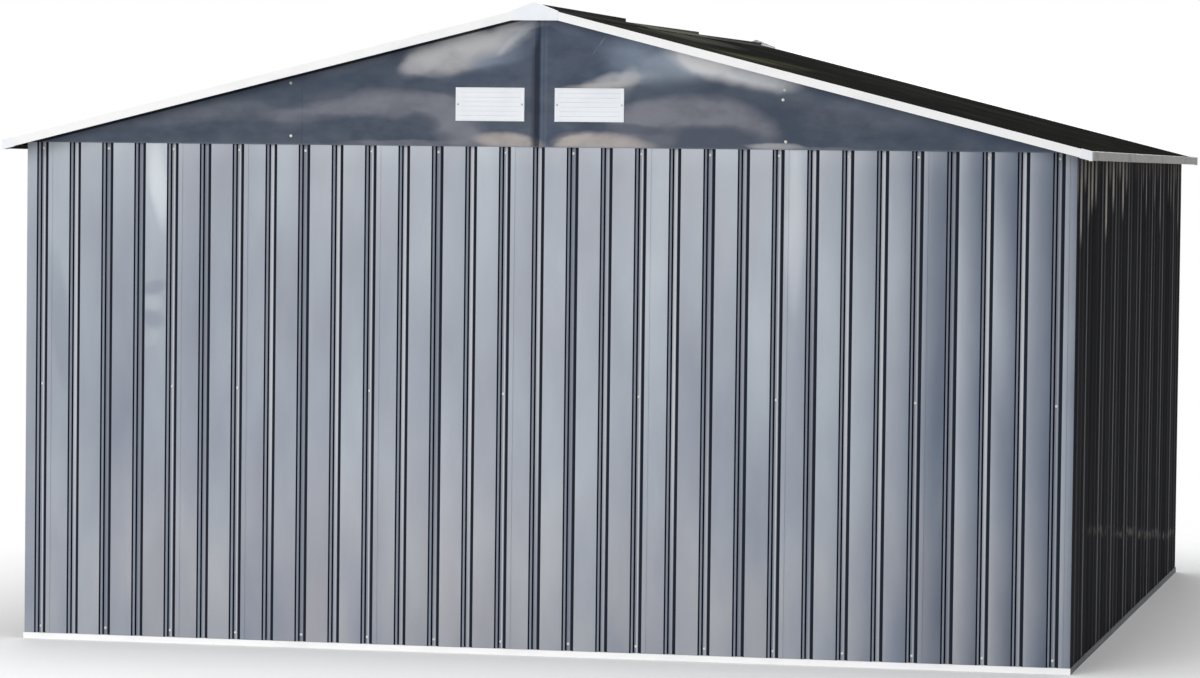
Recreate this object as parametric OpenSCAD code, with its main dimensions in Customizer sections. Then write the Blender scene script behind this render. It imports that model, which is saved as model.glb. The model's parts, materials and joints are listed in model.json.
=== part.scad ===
// Metal storage shed with ribbed sheet walls, a low gable roof, white trims and louvred vents.
// The origin is on the ground under the middle of the roof. The photographed wall faces -Y.

/* [Ribbed sheet] */
// Distance from one groove to the next
rib_pitch = 106.5; // [100:0.5:115]
// Width of a groove at the outer face
groove_open = 34.5; // [28:0.5:40]
// Width of the flat bottom of a groove
groove_floor = 18.5; // [12:0.5:22]
// Depth of a groove
groove_depth = 10.5; // [8:0.5:14]
// Thickness of the sheets
sheet_t = 0.5; // [0.4:0.1:0.8]
// How far a sheet runs on past its last groove
lap_tail = 14; // [10:1:16]

/* [Walls] */
// Grooves across the back wall and the door wall
back_bays = 31; // [29:2:35]
// Length of each side wall, in groove distances
side_bays = 34; // [30:4:38]
// Grooves on the part of a corner sheet that lies on a side wall
corner_grooves = 3; // [3:4:7]
// Height of the outer corner of the roof edge above the ground
eave_z = 1568; // [1500:1:1700]
// Slope of the roof in degrees
roof_pitch = 14.05; // [11:0.05:17]
// How far the wall sheets under a gable reach up past those of the side walls
gable_rise = 6; // [4:1:10]
// How far the foot of a gable hangs over the wall sheets
gable_lap = 5; // [3:1:8]

/* [Rails] */
// Thickness of rails and roof beams
rail_t = 0.8; // [0.6:0.1:1.2]
// Height of the white foot of the base rail
base_foot = 19; // [15:1:25]
// How far the base rail stands proud of the sheets
base_proud = 2; // [1:0.5:4]
// Height of the base rail's upstand behind the sheets
base_upstand = 50; // [40:1:60]
// Width of the base rail on the ground
base_tread = 47; // [40:1:60]
// Height of the top rails
top_rail_h = 38; // [30:1:45]
// Width of the flanges of top rails and mid rails
rail_flange = 28; // [20:1:34]
// Height of the middle of the mid rails
mid_rail_z = 805; // [700:5:900]
// Height of the mid rails
mid_rail_h = 30; // [24:1:40]

/* [Roof] */
// Overhang of the roof past the side walls
eave_overhang = 50; // [40:1:80]
// Overhang of the roof past the gable walls
gable_overhang = 86; // [60:1:110]
// Height of the white roof trims
trim_h = 26.5; // [24:0.5:36]
// How far the upper edge of a roof trim stands above the sheets
trim_stand = 3; // [2:0.5:5]
// Width of a roof trim's flange, which slopes down on to the sheets
trim_flange = 22; // [18:1:26]
// Width of a roof trim's return at the bottom
trim_return = 8; // [5:1:12]
// Width of one slope of a ridge cap, measured level
ridge_wing = 92; // [84:1:110]
// Half width of the raised middle of a ridge cap
ridge_flat = 20; // [14:1:24]
// How much shorter the first ridge cap is than the others
ridge_first_cut = 60; // [0:2:120]
// How far a ridge cap covers the next one
ridge_cover = 29; // [20:1:40]
// Height of the first ridge cap's middle above its slopes
ridge_step = 10; // [8:0.5:14]
// Height of the other ridge caps' middles at their far ends, to which they rise from nothing
ridge_lift = 7.5; // [5:0.5:10]
// Number of ridge caps
ridge_cap_count = 3; // [2:1:4]
// Half width of the white cap on the gable peak
peak_half = 73; // [66:1:80]
// Height of the peak cap over the trims, at its tip
peak_rise = 12; // [11:1:14]
// Height of the peak cap over the trims, at its shoulders
peak_shoulder = 2; // [2:0.5:4]
// Depth of the peak cap along the ridge
peak_depth = 14; // [10:1:20]
// Thickness of the moulded caps
cap_t = 1.2; // [1:0.1:2]
// Length of a roof corner cap along each trim
corner_cap_len = 30; // [30:1:40]
// Height of the roof beams
beam_h = 42; // [34:1:50]
// Width of the purlins
beam_w = 30; // [24:1:40]
// Width of the ridge beam
ridge_beam_w = 60; // [56:1:80]
// Distance from the ridge line to the middle of a purlin, measured level
purlin_x = 860; // [820:5:900]

/* [Gable sheets and vents] */
// Distance from the middle to the joint in each gable
gable_joint = 770; // [700:5:800]
// Overlap of the gable sheets at that joint
gable_overlap = 30; // [20:1:40]
// Half width of the shallow valley at the middle seam of a gable
seam_half = 16; // [12:1:16]
// Depth of that valley
seam_dip = 4; // [3:0.5:5]
// Depth of the folded edges behind the valley
seam_fold = 5; // [4:0.5:6]
// Width of a vent
vent_w = 217; // [180:1:230]
// Height of a vent
vent_h = 103; // [85:1:110]
// Distance from the middle of the gable to the middle of a vent
vent_x = 156; // [135:1:170]
// Height of the middle of the vents
vent_z = 1694; // [1670:1:1720]
// Width of the rim at the sides of a vent
vent_side = 15; // [12:1:18]
// Thickness of a vent's rim
vent_rim_t = 2.5; // [2:0.1:4]
// Depth of the louvres
louvre_depth = 4.6; // [3:0.1:8]
// Number of louvres in a vent
louvre_count = 7; // [5:1:8]

/* [Doors] */
// Width of the doorway, in grooves
doorway_bays = 15; // [13:2:17]
// Height of the head of the doorway above the ground
doorway_z = 1500; // [1400:1:1505]
// How far each door reaches past the edge of the doorway
door_hide = 30; // [20:1:40]
// Width of the white strips beside the doorway
jamb_w = 26; // [20:1:34]
// Depth of the folded edge of a door
door_hem = 12; // [11:0.5:14]
// Height of the lower edge of the doors
door_foot = 8; // [5:1:15]
// Length of a door handle
handle_len = 130; // [100:5:180]
// Height of the middle of the handles
handle_z = 860; // [800:5:1000]
// How far a handle stands out from its door
handle_out = 12; // [10:1:14]

/* [Hidden] */

// Gap between pieces that seat against each other
seat = 0.3;
// Gap between edges that only pass each other, and reach of cutting shapes past what they cut
edge_gap = 1;
// Half of the gap in a mitred joint of two rails
mitre_gap = 0.15;
// Grooves from one sheet lap to the next
lap_bays = 4;
// Distance between two nested sheets, measured square to the wall, that leaves the seat on the flanks
flank_run = (groove_open - groove_floor) / 2;
flank_len = sqrt(flank_run * flank_run + groove_depth * groove_depth);
lap_step = (sheet_t + seat) * flank_len / flank_run;
// Depth from the outermost face of a sheet wall to the face of the rails behind it
rail_v = lap_step + groove_depth + sheet_t + seat;
// Distance from the corner of a gable wall, and of a side wall, to the first groove
gable_start = rib_pitch / 2;
side_start = rib_pitch;

back_len = back_bays * rib_pitch;
side_len = side_bays * rib_pitch;
eave_x = back_len / 2 + eave_overhang;
rake_y = side_len / 2 + gable_overhang;
slope = tan(roof_pitch);
square = cos(roof_pitch);
// Height of the roof planes over the middle: trims, sheets, and what the sheets rest on
trim_apex = eave_z + eave_x * slope;
sheet_apex = trim_apex - (trim_stand + rail_t + seat) / square;
seat_apex = sheet_apex - rail_v / square;
sheet_foot = base_foot + seat;
wall_top = seat_apex - back_len / 2 * slope - seat;
gable_wall_top = wall_top + gable_rise;
gable_foot = gable_wall_top - gable_lap;
trim_drop = trim_h * square;
// Faces of the gable sheets, measured inwards from the wall's outermost face
gable_in_v = -seat - sheet_t;
gable_out_v = 2 * gable_in_v;
// Outer end of the gable sheets, where their height runs out
gable_tip_h = 2;
gable_end = (seat_apex - seat - gable_foot - gable_tip_h) / slope;
// Depths of the bottom of the seam's valley and of the ends of its folded edges
seam_v = gable_in_v + seam_dip;
seam_end_v = seam_v + seam_fold;
// How far the gable sheets reach in behind the rim of a vent
vent_hold_side = 2;
vent_hold_top = 4;
// Where roof sheets and rake trims stop short of the ridge, measured down the slope
sheet_stop = ridge_flat + 3 * edge_gap;
rake_stop = 15;
// Length of the ridge caps but the first
ridge_run = 2 * (rake_y - peak_depth - seat) + (ridge_cap_count - 1) * ridge_cover;
ridge_cap_len = (ridge_run + ridge_first_cut) / ridge_cap_count;
// How far the room that trims the ridge caps reaches past them
ridge_margin = 10;
// Distance from a roof corner to the ends of its trims, which leaves their flanges apart
trim_end = trim_flange + seat;
door_v = rail_v + rail_t + 3 * edge_gap;
door_gap = 2 * edge_gap;
door_top_gap = 6;
track_h = 30;
track_z = wall_top - top_rail_h - seat;
// How far the doors stand out past the ends of their track
track_short = 60;
// Gap between the doors' track and the mid rails of the side walls
rail_clear = 36;
// Depth of the ledge at the head of the doorway
head_ledge = 12;
// Thickness and width of a handle, and its distance from the middle of the doorway
handle_bar = 8;
handle_grip = 14;
handle_in = 40;
door_leaf = doorway_bays * rib_pitch / 2 + door_hide - door_gap / 2;
doorway_u = (back_bays - doorway_bays) / 2 * rib_pitch;
slot_back = seat + cap_t;
louvre_pitch = (vent_h - 2 * vent_rim_t) / louvre_count;
// Thickness of a louvre, and of its lower edge, and the height left open over it
louvre_t = 1.5;
louvre_lip = 1;
louvre_gap = 0.5;
// Reach of the shapes that cut mitres at the corners
mitre_reach = 120;

// Geometry of folded sheet

function reversed(list) = [for (i = [len(list) - 1:-1:0]) list[i]];
function unit(a, b) = (b - a) / norm(b - a);
function left_of(d) = [-d.y, d.x];
function miter(p, d1, d2, t) = p + t * (left_of(d1) + left_of(d2)) / (1 + d1 * d2);
function shifted(line, t) = [
    for (i = [0:len(line) - 1])
        let (
            d1 = i == 0 ? unit(line[0], line[1]) : unit(line[i - 1], line[i]),
            d2 = i == len(line) - 1 ? d1 : unit(line[i], line[i + 1])
        )
        miter(line[i], d1, d2, t)
];
// Outline of a sheet folded along a line, with its thickness on the left of the line
function folded(line, t) = concat(line, reversed(shifted(line, t)));

function groove_at(c) = [
    [c - groove_open / 2, 0],
    [c - groove_floor / 2, groove_depth],
    [c + groove_floor / 2, groove_depth],
    [c + groove_open / 2, 0],
];
// Place of a groove along a wall whose first groove lies at start
function groove_u(k, start) = start + (k - 1) * rib_pitch;
function grooves(first, last, start) = [for (k = [first:last]) for (p = groove_at(groove_u(k, start))) p];
// A ribbed line from u0 to u1 that rises from the inner layer to the outer one over its length
function ribbed_line(u0, u1, first, last, start) =
    let (
        flat = concat([[u0, 0]], grooves(first, last, start), [[u1, 0]]),
        a = groove_u(first, start),
        b = groove_u(last, start)
    )
    [for (p = flat) [p.x, p.y + lap_step * max(0, min(1, (b - p.x) / (b - a)))]];
function lap_start(k, start) = groove_u(k, start) - groove_open / 2 - lap_tail;
function lap_end(k, start) = groove_u(k, start) + groove_open / 2 + lap_tail;
// Height of the plane that a roof piece lies in, at a distance from the middle
function plane_z(apex, x) = apex - abs(x) * slope;

// Places: each wall's own frame runs along the wall in X, into the shed in Y

module on_wall(side) {
    along = side % 2 == 0 ? back_len : side_len;
    across = side % 2 == 0 ? side_len : back_len;
    rotate([0, 0, 90 * side])
        translate([-along / 2, -across / 2, 0])
            children();
}

// Runs a profile, drawn with X into the shed and Y up, along a wall
module along_wall(from, to) {
    translate([from, 0, 0])
        rotate([90, 0, 90])
            linear_extrude(height = to - from)
                children();
}

// Keeps what lies between the two mitres at the ends of a wall
module mitred(along) {
    intersection() {
        children();
        translate([0, 0, -edge_gap])
            linear_extrude(height = trim_apex)
                polygon([
                    [-mitre_reach + mitre_gap, -mitre_reach],
                    [along + mitre_reach - mitre_gap, -mitre_reach],
                    [along - mitre_reach - mitre_gap, mitre_reach],
                    [mitre_reach + mitre_gap, mitre_reach],
                ]);
    }
}

// Turns a profile, drawn with X along the ridge and Y out of the roof, down the right slope
module down_slope(apex, from, to) {
    translate([0, 0, apex])
        rotate([0, roof_pitch, 0])
            translate([from, 0, 0])
                rotate([90, 0, 90])
                    linear_extrude(height = to - from)
                        children();
}

// Runs a profile, drawn with X across the shed and Y up, along the ridge
module along_ridge(from, to) {
    translate([0, to, 0])
        rotate([90, 0, 0])
            linear_extrude(height = to - from)
                children();
}

// Keeps what lies under the planes that the roof sheets rest on
module under_roof() {
    half = back_len / 2 + edge_gap;
    end = side_len / 2 + edge_gap;
    intersection() {
        children();
        along_ridge(-end, end)
            polygon([
                [-half, 0],
                [half, 0],
                [half, plane_z(seat_apex - seat, half)],
                [0, seat_apex - seat],
                [-half, plane_z(seat_apex - seat, half)],
            ]);
    }
}

// Draws its children for one end of the shed: the back as they are, the door end mirrored
module at_end(end) {
    mirror([0, end == "door" ? 1 : 0, 0])
        children();
}

module at_side(side) {
    mirror([side == "left" ? 1 : 0, 0, 0])
        children();
}

// Base rails

module base_rail(side, along) {
    line = [
        [rail_v, base_upstand],
        [rail_v, base_foot],
        [-base_proud, base_foot],
        [-base_proud, 0],
        [base_tread - base_proud, 0],
    ];
    color("white")
        on_wall(side)
            mitred(along)
                along_wall(-base_proud, along + base_proud)
                    polygon(folded(line, rail_t));
}

module base_rail_back() base_rail(0, back_len);
module base_rail_right() base_rail(1, side_len);
module base_rail_door() base_rail(2, back_len);
module base_rail_left() base_rail(3, side_len);

// Ribbed wall sheets

module ribbed_sheet(u0, u1, first, last, start, top) {
    translate([0, 0, sheet_foot])
        linear_extrude(height = top - sheet_foot)
            polygon(folded(ribbed_line(u0, u1, first, last, start), sheet_t));
}

// Sheets from lap to lap; each lies under the one before it and over the one after it
module lapped_sheets(laps, start, top) {
    for (i = [0:len(laps) - 2]) {
        u0 = lap_start(laps[i], start);
        u1 = lap_end(laps[i + 1], start);
        ribbed_sheet(u0, u1, laps[i], laps[i + 1], start, top);
    }
}

module back_wall_sheets() {
    laps = concat([1, 1 + lap_bays], [for (k = [3 + lap_bays:lap_bays:back_bays]) k]);
    color("slategray")
        on_wall(0)
            lapped_sheets(laps, gable_start, gable_wall_top);
}

module side_wall_sheets(side) {
    laps = [for (k = [corner_grooves:lap_bays:side_bays - corner_grooves]) k];
    color("slategray")
        on_wall(side)
            lapped_sheets(laps, side_start, wall_top);
}

module right_wall_sheets() side_wall_sheets(1);
module left_wall_sheets() side_wall_sheets(3);

module door_wall_sheets_right() {
    lap = 1 + lap_bays;
    last = (back_bays - doorway_bays) / 2;
    color("slategray")
        on_wall(2) {
            lapped_sheets([1, lap], gable_start, gable_wall_top);
            ribbed_sheet(lap_start(lap, gable_start), doorway_u, lap, last, gable_start, gable_wall_top);
        }
}

module door_wall_sheets_left() {
    lap = back_bays - lap_bays;
    first = (back_bays + doorway_bays) / 2 + 1;
    u0 = back_len - doorway_u;
    color("slategray")
        on_wall(2) {
            ribbed_sheet(u0, lap_end(lap, gable_start), first, lap, gable_start, gable_wall_top);
            lapped_sheets([lap, back_bays], gable_start, gable_wall_top);
        }
}

// Corner sheets: one leg under the wall before the corner, one leg over the wall after it

function leg(count, start) = concat(grooves(1, count, start), [[lap_end(count, start), 0]]);
gable_leg = leg(1, gable_start);
side_leg = leg(corner_grooves, side_start);

module corner_sheet(leg_before, leg_after) {
    before = [for (p = reversed(concat([[0, 0]], leg_before))) [-p.x, p.y + lap_step]];
    after = [for (p = leg_after) [-p.y, p.x]];
    translate([0, 0, sheet_foot])
        linear_extrude(height = gable_wall_top - sheet_foot)
            polygon(folded(concat(before, after), sheet_t));
}

module corner_sheet_back_right() {
    color("slategray")
        under_roof()
            translate([back_len / 2, -side_len / 2, 0])
                corner_sheet(gable_leg, side_leg);
}

module corner_sheet_door_right() {
    color("slategray")
        under_roof()
            translate([back_len / 2, side_len / 2, 0])
                rotate([0, 0, 90])
                    corner_sheet(side_leg, gable_leg);
}

module corner_sheet_door_left() {
    color("slategray")
        under_roof()
            translate([-back_len / 2, side_len / 2, 0])
                rotate([0, 0, 180])
                    corner_sheet(gable_leg, side_leg);
}

module corner_sheet_back_left() {
    color("slategray")
        under_roof()
            translate([-back_len / 2, -side_len / 2, 0])
                rotate([0, 0, 270])
                    corner_sheet(side_leg, gable_leg);
}

// Rails behind the top and the middle of the walls

module top_rail(side, along, top_outer, top_inner) {
    line = [
        [rail_v + rail_flange, top_inner],
        [rail_v, top_outer],
        [rail_v, wall_top - top_rail_h],
        [rail_v + rail_flange, wall_top - top_rail_h],
    ];
    color("slategray")
        on_wall(side)
            mitred(along)
                along_wall(0, along)
                    polygon(folded(line, rail_t));
}

module level_top_rail(side) {
    top_rail(side, back_len, wall_top, wall_top);
}

module sloped_top_rail(side) {
    outer = plane_z(seat_apex, back_len / 2 - rail_v);
    inner = plane_z(seat_apex, back_len / 2 - rail_v - rail_flange);
    top_rail(side, side_len, outer - seat, inner - seat);
}

module top_rail_back() level_top_rail(0);
module top_rail_right() sloped_top_rail(1);
module top_rail_door() level_top_rail(2);
module top_rail_left() sloped_top_rail(3);

module mid_rail(side, along, from, to) {
    top = mid_rail_z + mid_rail_h / 2;
    line = [
        [rail_v + rail_flange, top],
        [rail_v, top],
        [rail_v, top - mid_rail_h],
        [rail_v + rail_flange, top - mid_rail_h],
    ];
    on_wall(side)
        mitred(along)
            along_wall(from, to)
                polygon(folded(line, rail_t));
}

module mid_rails() {
    stop = door_v + rail_clear;
    color("slategray") {
        mid_rail(0, back_len, 0, back_len);
        mid_rail(1, side_len, 0, side_len - stop);
        mid_rail(3, side_len, stop, side_len);
    }
}

// Roof beams, from gable to gable

module ridge_beam() {
    half = ridge_beam_w / 2;
    top = plane_z(seat_apex, half) - seat;
    line = [
        [half, top - beam_h],
        [half, top],
        [0, seat_apex - seat],
        [-half, top],
        [-half, top - beam_h],
    ];
    end = side_len / 2 - seam_end_v - seat;
    color("slategray")
        along_ridge(-end, end)
            polygon(folded(line, rail_t));
}

module purlin() {
    line = [
        [beam_w / 2, -seat],
        [-beam_w / 2, -seat],
        [-beam_w / 2, -beam_h],
        [beam_w / 2, -beam_h],
    ];
    end = side_len / 2 + sheet_t + seat;
    translate([0, 0, seat_apex])
        rotate([0, roof_pitch, 0])
            translate([purlin_x / square, 0, 0])
                along_ridge(-end, end)
                    polygon(folded(line, rail_t));
}

module roof_purlins() {
    color("slategray") {
        purlin();
        mirror([1, 0, 0]) purlin();
    }
}

// Gable sheets and vents

module gable_field(x0, x1) {
    polygon([
        [x0, gable_foot],
        [x1, gable_foot],
        [x1, plane_z(seat_apex, x1) - seat],
        [x0, plane_z(seat_apex, x0) - seat],
    ]);
}

// Stands a drawing of the gable up, with its outer face at depth v from the wall's outermost face
module stand_at(v, thickness) {
    translate([0, v + thickness - side_len / 2, 0])
        rotate([90, 0, 0])
            linear_extrude(height = thickness)
                children();
}

module vent_field(margin_x, margin_z) {
    translate([vent_x - vent_w / 2 + margin_x, vent_z - vent_h / 2 + margin_z])
        square([vent_w - 2 * margin_x, vent_h - 2 * margin_z]);
}

// Gable sheets: the inner one dips at the middle seam, the outer one lies on it at the joint
module gable_sheets() {
    inner = [
        [seat / 2, seam_end_v],
        [seat / 2, seam_v],
        [seam_half, gable_in_v],
        [gable_joint + gable_overlap / 2, gable_in_v],
    ];
    depth = seam_end_v - gable_in_v + 2 * edge_gap;
    color("darkslategray") {
        intersection() {
            translate([0, -side_len / 2, gable_foot])
                linear_extrude(height = seat_apex - gable_foot)
                    polygon(folded(inner, sheet_t));
            stand_at(gable_in_v - edge_gap, depth)
                difference() {
                    gable_field(0, gable_joint + gable_overlap);
                    vent_field(vent_side + vent_hold_side, vent_rim_t + vent_hold_top);
                }
        }
        stand_at(gable_out_v, sheet_t)
            gable_field(gable_joint - gable_overlap / 2, gable_end);
    }
}

module gable_sheets_back_left() at_end("back") at_side("left") gable_sheets();
module gable_sheets_back_right() at_end("back") at_side("right") gable_sheets();
module gable_sheets_door_left() at_end("door") at_side("left") gable_sheets();
module gable_sheets_door_right() at_end("door") at_side("right") gable_sheets();

// One louvre, drawn with X out of the gable and Y up: it hangs down and out
module louvre_profile() {
    drop = louvre_pitch - louvre_gap;
    polygon([
        [0, drop],
        [louvre_t, drop],
        [louvre_depth, louvre_lip],
        [louvre_depth, 0],
        [louvre_depth - louvre_t, 0],
        [0, drop - 2 * louvre_t],
    ]);
}

module vent() {
    face = gable_in_v - seat - side_len / 2;
    louvre_w = vent_w - 2 * vent_side + 2 * edge_gap;
    foot = vent_z - vent_h / 2 + vent_rim_t;
    color("white") {
        stand_at(gable_in_v - seat - vent_rim_t, vent_rim_t)
            difference() {
                vent_field(0, 0);
                vent_field(vent_side, vent_rim_t);
            }
        for (i = [0:louvre_count - 1])
            translate([vent_x + louvre_w / 2, face, foot + i * louvre_pitch])
                rotate([90, 0, -90])
                    linear_extrude(height = louvre_w)
                        louvre_profile();
    }
}

module vent_back_left() at_end("back") at_side("left") vent();
module vent_back_right() at_end("back") at_side("right") vent();
module vent_door_left() at_end("door") at_side("left") vent();
module vent_door_right() at_end("door") at_side("right") vent();

// Roof sheets: the same ribbed sheet, laid down the slope

module roof_sheets() {
    roof_bays = side_bays + 1;
    middle = roof_bays * rib_pitch / 2;
    end = rake_y - rail_t - seat;
    start = rib_pitch / 2;
    laps = concat([for (k = [1:lap_bays:roof_bays - lap_bays + 2]) k], [roof_bays]);
    color("dimgray")
        down_slope(sheet_apex, sheet_stop, (eave_x - rail_t - seat) / square)
            for (i = [0:len(laps) - 2]) {
                u0 = i == 0 ? middle - end : lap_start(laps[i], start);
                u1 = i == len(laps) - 2 ? middle + end : lap_end(laps[i + 1], start);
                line = ribbed_line(u0, u1, laps[i], laps[i + 1], start);
                polygon(folded([for (p = line) [p.x - middle, -p.y]], -sheet_t));
            }
}

module roof_sheets_left() at_side("left") roof_sheets();
module roof_sheets_right() at_side("right") roof_sheets();

// Ridge caps: each covers the start of the next one. Their wings lie on the slopes, and their middles
// stand up between upright sides: the first one all along, the others more and more towards the door.

// Line over the ridge that follows the slopes and has a flat middle
function ridge_line(apex, half) = [
    [half, plane_z(apex, half)],
    [ridge_flat, plane_z(apex, ridge_flat)],
    [-ridge_flat, plane_z(apex, ridge_flat)],
    [-half, plane_z(apex, half)],
];

// Room for the ridge caps: above the roof sheets and above the flanges of the rake trims
module ridge_room() {
    half = ridge_wing + ridge_margin;
    top = trim_apex + 2 * (ridge_step + ridge_lift);
    low = plane_z(seat_apex, half);
    upper = concat(ridge_line(sheet_apex + seat, half), [[-half, top], [half, top]]);
    flanges = concat(ridge_line(trim_apex + seat, half), [[-half, low], [half, low]]);
    difference() {
        along_ridge(-rake_y, rake_y)
            polygon(upper);
        for (end = ["back", "door"])
            at_end(end)
                along_ridge(-rake_y - edge_gap, -rake_y + trim_flange + seat)
                    polygon(flanges);
    }
}

// Block over the ridge whose top rises from one height to another over a ridge cap's length
module ridge_block(half, low, near, far, length) {
    rise = (far - near) / length * edge_gap;
    translate([-half, 0, 0])
        rotate([90, 0, 90])
            linear_extrude(height = 2 * half)
                polygon([
                    [-edge_gap, low],
                    [length + edge_gap, low],
                    [length + edge_gap, far + rise],
                    [-edge_gap, near - rise],
                ]);
}

// A ridge cap, drawn over its own length: its wings and skirts, and the middle between its sides
module ridge_sheet(base, wing, length, near, far) {
    root = plane_z(base, ridge_flat);
    skirt_z = plane_z(-ridge_step - ridge_lift, wing);
    top = 2 * (ridge_step + ridge_lift);
    line = concat([[wing, skirt_z]], ridge_line(base, wing), [[-wing, skirt_z]]);
    above = concat(ridge_line(base + sheet_t / 2, wing), [[-wing, top], [wing, top]]);
    intersection() {
        difference() {
            union() {
                along_ridge(-edge_gap, length + edge_gap)
                    polygon(folded(line, -sheet_t));
                intersection() {
                    ridge_block(ridge_flat + sheet_t, skirt_z, root + near + sheet_t, root + far + sheet_t, length);
                    along_ridge(-2 * edge_gap, length + 2 * edge_gap)
                        polygon(above);
                }
            }
            ridge_block(ridge_flat, skirt_z, root + near, root + far, length);
        }
        along_ridge(0, length)
            translate([-2 * wing, 2 * skirt_z])
                square([4 * wing, 2 * top - 2 * skirt_z]);
    }
}

module ridge_cap(i) {
    cut = i == 0 ? ridge_first_cut : 0;
    shift = i == 0 ? 0 : ridge_first_cut;
    first = -rake_y + peak_depth + seat;
    start = first + i * (ridge_cap_len - ridge_cover) - shift;
    covers = ridge_cap_count - 1 - i;
    base = 2 * seat + covers * (sheet_t + 3 * seat);
    wing = ridge_wing + covers * (sheet_t + seat);
    near = i == 0 ? ridge_step : seat;
    far = i == 0 ? ridge_step : seat + ridge_lift;
    translate([0, start, sheet_apex])
        ridge_sheet(base, wing, ridge_cap_len - cut, near, far);
}

module ridge_caps() {
    color("dimgray")
        for (i = [0:ridge_cap_count - 1])
            intersection() {
                ridge_cap(i);
                ridge_room();
            }
}

// White trims on the roof edges

// Profile of a rake trim, drawn with X into the roof and Y out of it, spread outwards by a margin
module rake_profile(margin, t) {
    line = [
        [trim_flange, -trim_stand],
        [0, 0],
        [0, -trim_drop],
        [trim_return, -trim_drop],
    ];
    translate([-rake_y, 0])
        polygon(folded(shifted(line, -margin), t));
}

module rake_trim() {
    color("white")
        down_slope(trim_apex, rake_stop, (eave_x - trim_end) / square)
            rake_profile(0, rail_t);
}

module rake_trim_back_left() at_end("back") at_side("left") rake_trim();
module rake_trim_back_right() at_end("back") at_side("right") rake_trim();
module rake_trim_door_left() at_end("door") at_side("left") rake_trim();
module rake_trim_door_right() at_end("door") at_side("right") rake_trim();

// Profile of an eave trim, drawn with X across the shed and Y up, spread outwards by a margin
module eave_profile(margin, t) {
    line = [
        [eave_x - trim_return, eave_z - trim_h],
        [eave_x, eave_z - trim_h],
        [eave_x, eave_z],
        [eave_x - trim_flange, eave_z + trim_flange * slope - trim_stand / square],
    ];
    polygon(folded(shifted(line, -margin), t));
}

module eave_trim() {
    end = rake_y - trim_end;
    color("white")
        along_ridge(-end, end)
            eave_profile(0, rail_t);
}

module eave_trim_left() at_side("left") eave_trim();
module eave_trim_right() at_side("right") eave_trim();

module corner_cap() {
    end = eave_x + slot_back;
    intersection() {
        down_slope(trim_apex, (eave_x - corner_cap_len) / square, (end + trim_h) / square)
            rake_profile(slot_back, cap_t);
        translate([0, -rake_y - corner_cap_len, 0])
            cube([end, 2 * corner_cap_len, trim_apex]);
    }
    along_ridge(-rake_y - slot_back, -rake_y + corner_cap_len)
        eave_profile(slot_back, cap_t);
}

module roof_corner_caps() {
    color("white")
        for (end = ["back", "door"])
            for (side = ["left", "right"])
                at_end(end) at_side(side) corner_cap();
}

// White cap on each gable peak

module peak_cap() {
    tip = trim_apex + peak_rise;
    shoulder = plane_z(trim_apex, peak_half) + peak_shoulder;
    foot = plane_z(trim_apex, peak_half) - trim_h;
    roof = [
        [peak_half, shoulder],
        [0, tip],
        [-peak_half, shoulder],
    ];
    color("white") {
        along_ridge(-rake_y - slot_back, -rake_y - seat)
            polygon(concat([[-peak_half, foot], [peak_half, foot]], roof));
        along_ridge(-rake_y - slot_back, -rake_y + peak_depth)
            polygon(folded(roof, cap_t));
    }
}

module peak_cap_back() at_end("back") peak_cap();
module peak_cap_door() at_end("door") peak_cap();

// Closed pair of sliding doors behind the doorway, with their track, frame and handles

module door_leaf_sheet() {
    first = door_gap / 2;
    count = floor((door_leaf - groove_open) / rib_pitch);
    start = (door_leaf - count * rib_pitch) / 2;
    ribs = grooves(1, count, start + rib_pitch / 2);
    line = concat([[0, door_hem], [0, 0]], ribs, [[door_leaf, 0], [door_leaf, door_hem]]);
    translate([back_len / 2 + first, door_v, door_foot])
        linear_extrude(height = track_z - rail_t - door_top_gap - door_foot)
            polygon(folded(line, sheet_t));
}

module door_left() {
    color("slategray")
        on_wall(2)
            door_leaf_sheet();
}

module door_right() {
    color("slategray")
        mirror([1, 0, 0])
            on_wall(2)
                door_leaf_sheet();
}

module door_track() {
    v0 = door_v - seat - rail_t;
    v1 = door_v + door_hem + seat + rail_t;
    line = [
        [v1, track_z - track_h],
        [v1, track_z],
        [v0, track_z],
        [v0, track_z - track_h],
    ];
    end = doorway_u - door_leaf + track_short;
    color("slategray")
        on_wall(2)
            along_wall(end, back_len - end)
                polygon(folded(line, rail_t));
}

module door_jamb() {
    line = [
        [doorway_u - jamb_w, gable_in_v],
        [doorway_u + seat + rail_t, gable_in_v],
        [doorway_u + seat + rail_t, rail_v - seat],
    ];
    on_wall(2)
        translate([0, 0, sheet_foot])
            linear_extrude(height = doorway_z - seat - sheet_foot)
                polygon(folded(line, sheet_t));
}

// Strip over the doorway, with room for the gable's seam
module door_head() {
    line = [
        [head_ledge, doorway_z],
        [0, doorway_z],
        [0, gable_wall_top],
    ];
    notch = seam_half + edge_gap;
    difference() {
        along_wall(doorway_u + seat, back_len - doorway_u - seat)
            polygon(folded(line, -sheet_t));
        translate([back_len / 2 - notch, -edge_gap, gable_foot - seat])
            cube([2 * notch, sheet_t + 2 * edge_gap, 2 * gable_lap]);
    }
}

module door_frame() {
    color("white") {
        door_jamb();
        mirror([1, 0, 0]) door_jamb();
        on_wall(2) door_head();
    }
}

module door_handle() {
    out = door_v - seat - handle_out;
    color("white")
        on_wall(2)
            translate([back_len / 2 + handle_in, out, handle_z - handle_len / 2])
                difference() {
                    cube([handle_grip, handle_out, handle_len]);
                    translate([-edge_gap, handle_bar / 2, handle_bar])
                        cube([handle_grip + 2 * edge_gap, handle_out, handle_len - 2 * handle_bar]);
                }
}

module door_handles() {
    door_handle();
    mirror([1, 0, 0]) door_handle();
}

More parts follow.
